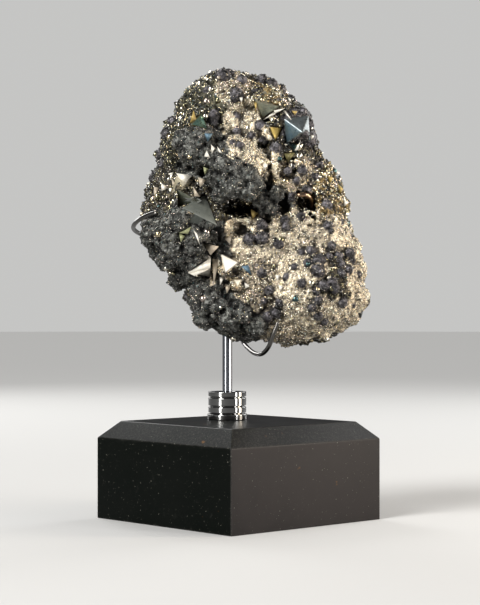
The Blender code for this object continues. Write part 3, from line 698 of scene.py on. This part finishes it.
def clear_of_wires(points):
    """The points that would bury a wire's part in front pushed back behind it."""
    points = points.copy()
    for spot in np.concatenate([curved(knots[-5:], 10) for knots in ARM_ROUTES.values()]):
        away = np.hypot(points[:, 0] - spot[0], points[:, 2] - spot[2])
        limit = spot[1] + WIRE_BED
        covering = (away < WIRE_BED_HALF) & (points[:, 1] < limit) & (points[:, 1] > spot[1] - SHIFT_LIMIT)
        points[covering, 1] = limit
    return points


def against(seen, corners):
    """For points seen from the front: whether they are inside a triangle, their distance to its outline
    and the outline's depth there."""
    away = np.full(len(seen), np.inf)
    rim = np.zeros(len(seen))
    inside = np.ones(len(seen), bool)
    middle = corners.mean(0)[[0, 2]]
    for first, second in zip(corners, np.roll(corners, -1, axis=0)):
        start, along = first[[0, 2]], (second - first)[[0, 2]]
        share = np.clip((seen - start) @ along / (along @ along), 0, 1)
        gap = np.linalg.norm(seen - start - share[:, None] * along, axis=1)
        rim = np.where(gap < away, first[1] + share * (second[1] - first[1]), rim)
        away = np.minimum(away, gap)
        side = np.array([along[1], -along[0]])
        side *= np.sign(side @ (middle - start))
        inside &= (seen - start) @ side > 0
    return inside, away, rim


def face_depth(seen, corners, normal):
    """Depth of a face's plane behind points seen from the front."""
    return corners[0, 1] - (seen - corners[0, [0, 2]]) @ normal[[0, 2]] / normal[1]


def placed_facets(points):
    """Each small face's corners in space, its outward direction and its colour."""
    front = points[points[:, 1] < middle_depth(points[:, 2])]
    large = crystal_faces()
    placed = []
    for tone, *seen in FACETS:
        seen = np.reshape(seen, (3, 2)) * MM
        middle = seen.mean(0)
        near = np.hypot(front[:, 0] - middle[0], front[:, 2] - middle[1]) < FACET_REACH
        depth = np.percentile(front[near, 1], 25) - FACET_RISE
        for corners, normal in large:
            inside, away, _ = against(middle[None], corners)
            if inside[0] or away[0] < 1.5 * MM:
                depth = min(depth, face_depth(middle, corners, normal) - FACET_LAP)
            if inside[0]:
                depth -= FACET_OVER
        depths = depth + (seen - middle) @ np.array(FACET_LEANS[tone])
        corners = np.stack([seen[:, 0], depths, seen[:, 1]], 1)
        normal = np.cross(corners[1] - corners[0], corners[2] - corners[0])
        normal *= -np.sign(normal[1]) / np.linalg.norm(normal)
        placed.append((corners, normal, FACET_TONES[tone]))
    return placed


def build_facets(facets):
    """The small faces in one piece: each is the front of a pointed crystal that is sunk in the body."""
    groups = []
    for corners, normal, _ in facets:
        span = np.linalg.norm(corners - np.roll(corners, -1, axis=0), axis=1).max()
        root = corners.mean(0) + np.array((0.0, FACET_ROOT * span, 0.0))
        if np.cross(corners[1] - corners[0], corners[2] - corners[0]) @ normal < 0:
            corners = corners[::-1]
        faces = np.array([(0, 1, 2), (1, 0, 3), (2, 1, 3), (0, 2, 3)])
        groups.append((np.concatenate([corners, [root]]), faces))
    piece = new_object("facet_crystals", *joined(groups))
    paint(piece.data, np.repeat([facet[2] for facet in facets], 4, axis=0))
    return piece


def skirted(points, faces):
    """The points beside each face brought forward to its edges, to bury its solid's other faces."""
    points = points.copy()
    for corners, _ in faces:
        inside, away, rim = against(points[:, [0, 2]], corners)
        reach = SKIRT_REACH * np.linalg.norm(corners[0] - corners[1])
        raised = rim + 0.2 * MM + SKIRT_SLOPE * away
        beside = ~inside & (away < reach) & (points[:, 1] > raised) & (points[:, 1] < rim + SHIFT_LIMIT)
        share = np.clip(2.2 * (1 - away / reach), 0, 1)
        points[:, 1] += np.where(beside, share * (raised - points[:, 1]), 0)
    return points


def crystal_faces(left_out=()):
    """Corners and outward direction of the face that each of the CAD's crystals turns to the front."""
    found = []
    for name, node in large_crystals():
        if name in left_out:
            continue
        bm = crystal_solid(node)
        face = front_face(bm, name)
        found.append((np.array([v.co for v in face.verts]), np.array(face.normal)))
        bm.free()
    return found


def front_face(bm, name):
    """The face that the CAD turns to the front: the one whose middle lies on the design's place."""
    x, z = np.array(LARGE_CRYSTALS[name][0]) * MM

    def away(face):
        middle = face.calc_center_median()
        return math.hypot(middle.x - x, middle.z - z)

    return min((face for face in bm.faces if face.normal.y < 0), key=away)


def crystal_solid(node):
    """A CAD crystal's solid with its flat faces whole."""
    bm = bmesh.new()
    bm.from_mesh(node.data)
    bmesh.ops.remove_doubles(bm, verts=bm.verts, dist=0.01 * MM)
    bmesh.ops.dissolve_limit(bm, angle_limit=math.radians(2), verts=bm.verts, edges=bm.edges)
    bm.normal_update()
    return bm


def nearest_gap(points, centres, radii):
    """Distance from each point to the nearest of the spheres' surfaces, negative inside."""
    gap = np.full(len(points), np.inf)
    for centre, radius in zip(centres, radii):
        gap = np.minimum(gap, np.linalg.norm(points - centre, axis=1) - radius)
    return gap


def finish_body(body, heads, balls):
    """Grain along the normals, the crystals' faces freed, then each point's colour with painted shade and
    light.
    """
    mesh = body.data
    points, outward = positions(mesh), normals(mesh)
    facets = placed_facets(points)
    tone = zone_of(points)
    front = points[:, 1] < middle_depth(points[:, 2])
    pale_cap = (value_noise(points, 5 * MM, 12) > 0.45) & on_tones(tone, "pale")
    on_head = front & ~pale_cap & (nearest_gap(points, *heads) < 1.5 * MM)
    tone = np.where(on_head, TONE_NAMES.index("dark"), tone)
    on_ball = front & (nearest_gap(points, *balls) < 0.55 * MM)
    tone = np.where(on_ball, TONE_NAMES.index("violet"), tone)
    grain = 0.26 * value_noise(points, 1.7 * MM, 20) + 0.24 * value_noise(points, 0.85 * MM, 21)
    grain += 0.35 * value_noise(points, 4.5 * MM, 22)
    sunk = sunkenness(mesh, 8) / (0.45 * MM) + 0.6 * sunkenness(mesh, 40) / (1.3 * MM)
    moved = skirted(points + outward * (grain * MM)[:, None], crystal_faces(OPEN_SIDED))
    moved, cleared = clear_of_crystals(moved, crystal_faces() + [facet[:2] for facet in facets])
    moved = clear_of_wires(moved)
    mesh.vertices.foreach_set("co", moved.astype(np.float32).ravel())
    mesh.update()
    colours = COLOURS[tone]
    speck = 1 + 0.6 * value_noise(points, 1.3 * MM, 30) + 0.35 * value_noise(points, 3 * MM, 31)
    speck *= np.where(value_noise(points, 1.5 * MM, 32) < -0.42, 0.22, 1.0)
    # Painted shade and light: points sunk below their surroundings are darkened, points standing out are
    # lightened.
    painted_shade_and_ridge_light = np.clip(1 - 0.8 * sunk, 0.06, 1.4)
    paint(mesh, colours * (np.clip(speck, 0.12, 2.0) * painted_shade_and_ridge_light)[:, None])
    add_numbers(mesh, "growth", tone)
    add_numbers(mesh, "bare", (cleared | (sunk > 1.0)).astype(int))
    return facets


def add_numbers(mesh, name, values):
    mesh.attributes.new(name, "INT", "POINT").data.foreach_set("value", values.astype(np.int32))


def read_numbers(mesh, name):
    values = np.empty(len(mesh.vertices), np.int32)
    mesh.attributes[name].data.foreach_get("value", values)
    return values


def paint(mesh, colours):
    layer = mesh.color_attributes.new("tone", "FLOAT_COLOR", "POINT")
    rgba = np.ones((len(colours), 4), np.float32)
    rgba[:, :3] = colours
    layer.data.foreach_set("color", rgba.ravel())


# ---- druse


def chosen_glints(tone):
    """A glint colour for each crystal, drawn by its ground's weights."""
    draw = RNG.random_sample(len(tone))
    glint = np.zeros(len(tone), int)
    for number, weights in enumerate(GLINT_WEIGHTS):
        here = tone == number
        glint[here] = np.searchsorted(np.cumsum(weights) / weights.sum(), draw[here])
    return GLINTS[np.minimum(glint, len(GLINTS) - 1)]


def build_druse(body):
    """Small crystals on the body, in three pieces: the front's pale ground, its dark ground and the back."""
    points, outward = positions(body.data), normals(body.data)
    tone = read_numbers(body.data, "growth")
    share, low, high = DRUSE_SHARES[tone], DRUSE_LEAST[tone], DRUSE_MOST[tone]
    front = points[:, 1] < middle_depth(points[:, 2]) + FRONT_LAP
    share = share * np.where(front, 1.0, BACK_DRUSE_SHARE)
    picked = (RNG.random_sample(len(points)) < share) & (read_numbers(body.data, "bare") == 0)
    spread = RNG.random_sample(len(points)) ** 2
    picked &= wire_distance(points) > WIRE_RADIUS + WIRE_CLEARANCE + high * MM
    size = (low + (high - low) * spread)[picked] * MM
    centres = points[picked] - outward[picked] * size[:, None] * 0.15
    colours = chosen_glints(tone[picked]) * factors(DRUSE_BRIGHTNESS, (picked.sum(), 1))
    turns = random_turns(len(size))
    front, light = front[picked], on_tones(tone[picked], "pale", "mixed")
    sides = {"druse_front_pale": front & light, "druse_front_dark": front & ~light, "druse_back": ~front}
    shape = unit_shape("octahedron")
    pieces = []
    for name, side in sides.items():
        piece = new_object(name, *copies(shape, centres[side], size[side][:, None], turns[side]))
        paint(piece.data, np.repeat(np.clip(colours[side], 0, 1), len(shape[0]), axis=0))
        pieces.append(piece)
    return pieces


def build_mid_crystals(body):
    """Loose-grown octahedra and cubes of one to three millimetres, front and back."""
    points, outward = positions(body.data), normals(body.data)
    tone = read_numbers(body.data, "growth")
    share = MID_SHARES[tone] / 1000
    picked = (RNG.random_sample(len(points)) < share) & (read_numbers(body.data, "bare") == 0)
    picked &= wire_distance(points) > WIRE_RADIUS + WIRE_CLEARANCE + 3 * MM
    size = between(*MID_SIZES, picked.sum()) * MM
    centres = points[picked] - outward[picked] * size[:, None] * 0.25
    cube = RNG.random_sample(len(size)) < MID_CUBES
    turns = random_turns(len(size))
    colours = GLINTS[RNG.choice(len(GLINTS), len(size), p=MID_GLINTS)]
    front = centres[:, 1] < middle_depth(centres[:, 2]) + FRONT_LAP
    pieces = []
    for name, side in (("crystals_front", front), ("crystals_back", ~front)):
        groups, tones = [], []
        for kind, those, scale in (("octahedron", side & ~cube, 1.0), ("cube", side & cube, 0.6)):
            shape = unit_shape(kind)
            groups.append(copies(shape, centres[those], size[those][:, None] * scale, turns[those]))
            tones.append(np.repeat(colours[those], len(shape[0]), axis=0))
        piece = new_object(name, *joined(groups))
        paint(piece.data, np.concatenate(tones))
        pieces.append(piece)
    return pieces


def build_named_crystal(name, node):
    """A large crystal with low growth steps on its faces and slightly worn edges, on the CAD's solid."""
    bm = crystal_solid(node)
    front = front_face(bm, name).normal.copy()
    biggest = max(f.calc_area() for f in bm.faces)
    for width, rise in GROWTH_STEPS:
        wide = [f for f in bm.faces if f.calc_area() > 0.25 * biggest]
        step = width * math.sqrt(biggest)
        bmesh.ops.inset_individual(bm, faces=wide, thickness=step, depth=rise * MM, use_even_offset=True)
    bmesh.ops.triangulate(bm, faces=bm.faces)
    piece = linked(node.name + "_grown", mesh_from(bm, node.name + "_grown"))
    # Painted light: faces turned like the front face take the lit colour, the others the painted shaded one.
    painted_lit_face = piece.data.attributes.new("painted_lit_face", "FLOAT", "FACE")
    for spot, polygon in zip(painted_lit_face.data, piece.data.polygons):
        spot.value = 1.0 if polygon.normal.dot(front) > 0.97 else 0.0
    bevel = piece.modifiers.new("worn_edges", "BEVEL")
    bevel.width = 0.12 * MM
    bevel.segments = 1
    bevel.limit_method = "ANGLE"
    bevel.angle_limit = math.radians(25)
    return piece


# ---- mount pieces


def build_wire(name, knots):
    """A round wire with domed ends."""
    path = curved(knots, 14)
    along = np.gradient(path, axis=0)
    along /= np.linalg.norm(along, axis=1)[:, None]
    rings = [(path[0] + along[0] * WIRE_RADIUS * ahead, along[0], wide) for wide, ahead in DOME]
    for point, way in zip(path, along):
        if min(np.linalg.norm(point - path[0]), np.linalg.norm(point - path[-1])) > WIRE_RADIUS * 1.3:
            rings.append((point, way, 1.0))
    rings += [(path[-1] - along[-1] * WIRE_RADIUS * ahead, along[-1], wide) for wide, ahead in DOME[::-1]]
    turn = (np.arange(WIRE_SIDES) / WIRE_SIDES * math.tau)[:, None]
    side = np.cross(rings[0][1], (0.3, 0.2, 1.0))
    bm = bmesh.new()
    loops = []
    for middle, way, wide in rings:
        side = side - way * (side @ way)
        side /= np.linalg.norm(side)
        other = np.cross(way, side)
        ring = middle + WIRE_RADIUS * wide * (np.cos(turn) * side + np.sin(turn) * other)
        loops.append([bm.verts.new(spot) for spot in ring])
    for low, high in zip(loops, loops[1:]):
        for k in range(WIRE_SIDES):
            bm.faces.new((low[k], low[k - WIRE_SIDES + 1], high[k - WIRE_SIDES + 1], high[k]))
    bm.faces.new(loops[0][::-1])
    bm.faces.new(loops[-1])
    wire = linked(name, mesh_from(bm, name))
    wire.data.shade_smooth()
    return wire


def turned(name, profile, segments, node_name):
    """A closed half section spun round the middle of the CAD node."""
    low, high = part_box(node_name)
    bm = bmesh.new()
    verts = [bm.verts.new((radius, 0, height)) for radius, height in profile]
    for first, second in zip(verts, verts[1:] + verts[:1]):
        bm.edges.new((first, second))
    piece = linked(name, mesh_from(bm, name))
    piece.location = ((low.x + high.x) / 2, (low.y + high.y) / 2, 0)
    screw = piece.modifiers.new("turned", "SCREW")
    screw.steps = segments
    screw.render_steps = segments
    screw.use_merge_vertices = True
    screw.merge_threshold = 0.01 * MM
    screw.use_smooth_shade = True
    even = piece.modifiers.new("even_shading", "WEIGHTED_NORMAL")
    even.weight = 100
    return piece


def rounded(radius, low, high, corner):
    """One ring's outer side, from the top down, with round corners."""
    turn = np.linspace(math.pi / 2, 0, 6)
    inset = radius - corner
    top = [(inset + corner * math.cos(a), high - corner + corner * math.sin(a)) for a in turn]
    bottom = [(inset + corner * math.cos(a), low + corner - corner * math.sin(a)) for a in turn[::-1]]
    return top + bottom


def build_collar():
    low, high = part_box("collar")
    flange = (high.x - low.x) / 2
    post_low, post_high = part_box("post")
    bore = (post_high.x - post_low.x) / 2 + BORE_GAP
    radius = flange - FLANGE_STEP
    root = radius - GROOVE_DEPTH
    top = high.z
    profile = [(bore, top)]
    for height in RING_HEIGHTS[::-1]:
        profile += rounded(radius, top - height, top, RING_ROUND)
        top -= height
        profile += [(root, top - GROOVE_TAPER), (root, top - GROOVE_WIDTH + GROOVE_TAPER)]
        top -= GROOVE_WIDTH
    profile += rounded(flange, low.z, low.z + FLANGE_HEIGHT, RING_ROUND)
    profile += [(bore, low.z)]
    return turned("collar_rings", profile, 128, "collar")


def build_post():
    low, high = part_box("post")
    side = rounded((high.x - low.x) / 2, low.z, high.z, POST_ROUND)
    return turned("post_rod", [(0.0, high.z), *side, (0.0, low.z)], 64, "post")


# ---- materials


class Nodes:
    """Short calls for building one material's node tree."""

    def __init__(self, name):
        self.material = bpy.data.materials.new(name)
        self.material.use_nodes = True
        self.tree = self.material.node_tree
        self.shader = self.tree.nodes["Principled BSDF"]

    def add(self, kind, inputs=None, **settings):
        node = self.tree.nodes.new(kind)
        for key, value in settings.items():
            setattr(node, key, value)
        for key, value in (inputs or {}).items():
            self.put(node.inputs[key], value)
        return node

    def put(self, socket, value):
        if isinstance(value, bpy.types.NodeSocket):
            self.tree.links.new(value, socket)
        else:
            socket.default_value = value

    def noise(self, scale, detail=3.0, rough=0.6):
        where = self.add("ShaderNodeTexCoord")
        return self.add(
            "ShaderNodeTexNoise",
            {"Vector": where.outputs["Object"], "Scale": scale, "Detail": detail, "Roughness": rough},
        ).outputs["Fac"]

    def spread(self, value, low, high, out_low, out_high):
        return self.add(
            "ShaderNodeMapRange",
            {"Value": value, "From Min": low, "From Max": high, "To Min": out_low, "To Max": out_high},
        ).outputs["Result"]

    def mix(self, factor, first, second, blend="MIX"):
        node = self.add("ShaderNodeMix", data_type="RGBA", blend_type=blend)
        self.put(node.inputs[0], factor)
        self.put(node.inputs[6], first)
        self.put(node.inputs[7], second)
        return node.outputs[2]

    def grey(self, value):
        parts = {"Red": value, "Green": value, "Blue": value}
        return self.add("ShaderNodeCombineColor", parts).outputs["Color"]

    def times(self, first, second):
        return self.add("ShaderNodeMath", {0: first, 1: second}, operation="MULTIPLY").outputs["Value"]

    def edges(self, reach, least):
        """1 along edges and 0 on flat stretches."""
        soft = self.add("ShaderNodeBevel", {"Radius": reach}, samples=6).outputs["Normal"]
        plain = self.add("ShaderNodeNewGeometry").outputs["Normal"]
        same = self.add("ShaderNodeVectorMath", {0: soft, 1: plain}, operation="DOT_PRODUCT").outputs["Value"]
        return self.spread(same, 1.0, least, 0.0, 1.0)

    def bump(self, height, strength, distance):
        return self.add(
            "ShaderNodeBump", {"Height": height, "Strength": strength, "Distance": distance}
        ).outputs["Normal"]

    def set(self, **inputs):
        for key, value in inputs.items():
            self.put(self.shader.inputs[key.replace("_", " ")], value)


def opaque(colour, share=1.0):
    return (*[share * part for part in colour], 1)


def grown_material(name, metallic, rough_low, rough_high, bump_strength, grain, flecks=0.5):
    """Painted growth: the mesh's own tone, with finer flecks, glint and grain."""
    n = Nodes(name)
    tone = n.add("ShaderNodeAttribute", attribute_name="tone").outputs["Color"]
    shade = n.spread(n.noise(grain, 4.0, 0.7), 0.3, 0.72, 1 - flecks, 1 + flecks)
    n.set(
        Base_Color=n.mix(1.0, tone, n.grey(shade), "MULTIPLY"),
        Metallic=metallic,
        Roughness=n.spread(n.noise(grain * 0.6), 0.3, 0.7, rough_low, rough_high),
        Normal=n.bump(n.noise(grain, 5.0, 0.75), bump_strength, 0.5 * MM),
    )
    return n.material


def crystal_material(name, colour, second, rough, metallic):
    """A large face: cloudy tarnish, fine growth streaks, painted lit and shaded faces and painted edge
    highlights.
    """
    n = Nodes(name)
    cloud = n.noise(130.0, 3.0, 0.6)
    streak = n.noise(900.0, 4.0, 0.7)
    painted_lit_face = n.add("ShaderNodeAttribute", attribute_name="painted_lit_face").outputs["Fac"]
    clouded = n.spread(cloud, 0.42, 0.66, 0.0, 0.5)
    # Painted light and shade: the front face has the lit colour, the other faces a darker share of the second
    # colour.
    face = n.mix(clouded, n.mix(painted_lit_face, opaque(second, 0.55), opaque(colour)), opaque(second))
    # Painted highlight: the edges are lightened towards white.
    painted_edge_highlight = [min(1.0, 0.45 + 0.6 * part) for part in colour]
    n.set(
        Base_Color=n.mix(n.edges(0.35 * MM, 0.9), face, opaque(painted_edge_highlight)),
        Metallic=metallic,
        Roughness=n.spread(streak, 0.3, 0.7, rough * 0.6, rough * 1.6),
        Normal=n.bump(streak, 0.15, 0.2 * MM),
    )
    return n.material


def chrome_material(name, colour, rough):
    """Polished metal with faint smears."""
    n = Nodes(name)
    smear = n.noise(60.0, 2.0, 0.5)
    fine = n.noise(2500.0, 2.0, 0.5)
    n.set(
        Base_Color=n.mix(n.spread(smear, 0.35, 0.65, 0.0, 1.0), opaque(colour), opaque(colour, 0.93)),
        Metallic=1.0,
        Roughness=n.spread(smear, 0.3, 0.7, rough * 0.6, rough * 1.5),
        Normal=n.bump(fine, 0.02, 0.05 * MM),
    )
    return n.material


def stone_material(name):
    """Black stone, painted darker on the left as shade and lighter on the right as sheen, with scuffs,
    specks, worn edges and rust.
    """
    n = Nodes(name)
    grain = n.noise(900.0, 5.0, 0.7)
    cloud = n.noise(18.0, 4.0, 0.6)
    scuff = n.noise(240.0, 6.0, 0.75)
    clouded = n.spread(cloud, 0.35, 0.65, 0.0, 1.0)
    # Painted shade and sheen: a darker copy of the stone for the left face and a lighter one for the right
    # face.
    painted_shade_left = n.mix(clouded, (0.0008, 0.0018, 0.0010, 1), (0.0020, 0.0028, 0.0019, 1))
    painted_sheen_right = n.mix(clouded, (0.019, 0.017, 0.017, 1), (0.027, 0.0235, 0.023, 1))
    spot = n.add("ShaderNodeSeparateXYZ", {0: n.add("ShaderNodeTexCoord").outputs["Object"]}).outputs
    chamfered = n.spread(spot["Z"], *CHAMFER_FOOT, 0.0, 1.0)
    # The painted sheen takes the right half across, less on the bevelled edges.
    right = n.spread(spot["X"], -0.4 * MM, 0.4 * MM, 0.0, 1.0)
    painted_sheen_share = n.times(right, n.spread(chamfered, 0.0, 1.0, 1.0, 0.25))
    tooled = n.times(chamfered, n.spread(n.noise(1100.0, 3.0, 0.7), 0.5, 0.62, 0.0, 0.4))
    worn = n.times(n.edges(0.7 * MM, 0.93), n.spread(scuff, 0.4, 0.6, 0.1, 0.8))
    base = n.mix(painted_sheen_share, painted_shade_left, painted_sheen_right)
    for share, colour in (
        (n.spread(scuff, 0.60, 0.76, 0.0, 0.22), (0.05, 0.049, 0.043)),
        (tooled, (0.055, 0.053, 0.047)),
        (n.spread(n.noise(1400.0, 1.0, 0.5), 0.745, 0.79, 0.0, 0.8), (0.26, 0.25, 0.21)),
        (worn, (0.085, 0.08, 0.072)),
        (n.spread(n.noise(150.0, 2.0, 0.5), 0.71, 0.78, 0.0, 0.8), (0.16, 0.075, 0.02)),
    ):
        base = n.mix(share, base, opaque(colour))
    n.set(
        Base_Color=base,
        Roughness=n.spread(cloud, 0.3, 0.7, 0.30, 0.38),
        Specular_IOR_Level=0.15,
        Normal=n.bump(grain, 0.12, 0.1 * MM),
    )
    return n.material


def floor_material(name, colour, mirrored):
    """A pale matt floor with a painted darker reflection, standing in for a dim room beyond a small table."""
    n = Nodes(name)
    glossy = n.add("ShaderNodeLightPath").outputs["Is Glossy Ray"]
    n.set(Base_Color=n.mix(glossy, opaque(colour), opaque(mirrored)), Roughness=0.8)
    return n.material


def give(obj, material):
    obj.data.materials.clear()
    obj.data.materials.append(material)


# ---- stage


# Softboxes: azimuth and distance round the object, heights of the middle and of its aim, width and height,
# power and colour
SOFTBOXES = {
    "key_left": (-42, 0.7, 0.31, 0.31, 0.14, 0.61, 2.8, (1.0, 0.99, 0.97)),
    "key_right": (60, 0.7, 0.31, 0.31, 0.10, 0.61, 1.8, (1.0, 0.97, 0.96)),
    "warm_right": (89, 0.72, 0.31, 0.31, 0.20, 0.61, 3.4, (1.0, 0.88, 0.74)),
    "back_left": (-150, 1.2, 0.7, 0.13, 0.5, 0.7, 6, (1, 1, 1)),
    "back_right": (140, 1.2, 0.6, 0.13, 0.5, 0.7, 6, (1, 1, 1)),
}
# What the world shows to each kind of ray, and to the rest
WORLD_COLOURS = {"Is Diffuse Ray": (0.40, 0.40, 0.40), "Is Camera Ray": (0.56, 0.56, 0.55)}
WORLD_REST = (0.07, 0.07, 0.075)
LENS = 137.3
CAMERA_PLACE = (0.0415, -0.9285, 0.1097)
CAMERA_TURN = math.radians(2.5)


def around(azimuth, distance, height):
    """A place round the object: azimuth 0 is the front, 90 the right, in degrees."""
    turn = math.radians(azimuth)
    return Vector((math.sin(turn) * distance, -math.cos(turn) * distance, height))


def light(name, kind, spot, aim_height, energy, **settings):
    """A light that is aimed at the post's axis."""
    data = bpy.data.lights.new(name, kind)
    data.energy = energy
    for key, value in settings.items():
        setattr(data, key, value)
    lamp = linked(name, data)
    lamp.location = spot
    lamp.rotation_euler = (Vector((0.0, 0.0, aim_height)) - spot).to_track_quat("-Z", "Y").to_euler()


def build_stage():
    bm = bmesh.new()
    bmesh.ops.create_circle(bm, cap_ends=True, segments=96, radius=6.0)
    floor = linked("floor", mesh_from(bm, "floor"))
    give(floor, floor_material("pale_floor", (0.52, 0.515, 0.50), (0.17, 0.17, 0.17)))
    light("sun", "SUN", around(-38, 1.0, 1.0), 0.13, 2.7, angle=math.radians(20))
    for name, (azimuth, distance, height, aim, wide, high, power, colour) in SOFTBOXES.items():
        light(name, "AREA", around(azimuth, distance, height), aim, power,
              shape="RECTANGLE", size=wide, size_y=high, color=colour)
    build_world()
    bpy.context.scene.view_settings.view_transform = "Standard"


def build_world():
    world = bpy.data.worlds.new("studio")
    bpy.context.scene.world = world
    world.use_nodes = True
    tree = world.node_tree
    path = tree.nodes.new("ShaderNodeLightPath").outputs
    rest = None
    for ray, colour in WORLD_COLOURS.items():
        mix = tree.nodes.new("ShaderNodeMix")
        mix.data_type = "RGBA"
        tree.links.new(path[ray], mix.inputs[0])
        if rest is None:
            mix.inputs[6].default_value = opaque(WORLD_REST)
        else:
            tree.links.new(rest, mix.inputs[6])
        mix.inputs[7].default_value = opaque(colour)
        rest = mix.outputs[2]
    tree.links.new(rest, tree.nodes["Background"].inputs["Color"])


def build_camera():
    data = bpy.data.cameras.new("camera")
    data.sensor_fit = "HORIZONTAL"
    data.sensor_width = 36.0
    data.lens = LENS
    data.clip_end = 50.0
    camera = linked("camera", data)
    camera.location = CAMERA_PLACE
    camera.rotation_euler = (math.radians(90), 0.0, CAMERA_TURN)
    bpy.context.scene.camera = camera


# ---- the whole


def place(piece, slot, *nodes):
    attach(piece, "root")
    if nodes:
        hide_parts(*nodes)


def main():
    build_camera()
    build_stage()
    body, facets = build_body()
    druse = build_druse(body)
    mids = build_mid_crystals(body)
    give(body, grown_material("matrix_growth", 0.8, 0.32, 0.55, 0.4, 900.0))
    place(body, "pyrite_matrix", "matrix")
    sparkle = grown_material("druse_crystals", 1.0, 0.16, 0.32, 0.1, 1200.0)
    glassy = grown_material("mid_crystals", 1.0, 0.10, 0.24, 0.05, 1500.0)
    shiny = grown_material("facet_faces", 0.2, 0.25, 0.45, 0.05, 700.0, 0.15)
    for pieces, material, slot in (
        (druse, sparkle, "pyrite_matrix"), (mids, glassy, "pyrite_bright"),
        ([build_facets(facets)], shiny, "pyrite_bright"),
    ):
        for piece in pieces:
            give(piece, material)
            place(piece, slot)
    for name, (_, colour, second, rough, metallic) in LARGE_CRYSTALS.items():
        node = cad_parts["crystal_" + name]
        piece = build_named_crystal(name, node)
        give(piece, crystal_material("pyrite_" + name, colour, second, rough, metallic))
        place(piece, "pyrite_bright" if colour[0] > BRIGHT_FROM else "pyrite_dark", node.name)
    nickel = chrome_material("nickel_wire", (0.21, 0.20, 0.185), 0.18)
    bronzed = chrome_material("bronzed_wire", (0.60, 0.40, 0.26), 0.3)
    for name, knots in ARM_ROUTES.items():
        piece = build_wire(name + "_wire", knots)
        give(piece, bronzed if name == "arm_right" else nickel)
        place(piece, "wire", name)
    collar, post = build_collar(), build_post()
    give(collar, chrome_material("chrome_rings", (0.38, 0.38, 0.37), 0.06))
    give(post, chrome_material("chrome_rod", (0.39, 0.41, 0.45), 0.08))
    place(collar, "collar_chrome", "collar")
    place(post, "post_chrome", "post")
    give(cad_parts["base_block"], stone_material("black_stone"))


main()


def corners(bounds):
    return [[float(value) for value in corner] for corner in bounds]
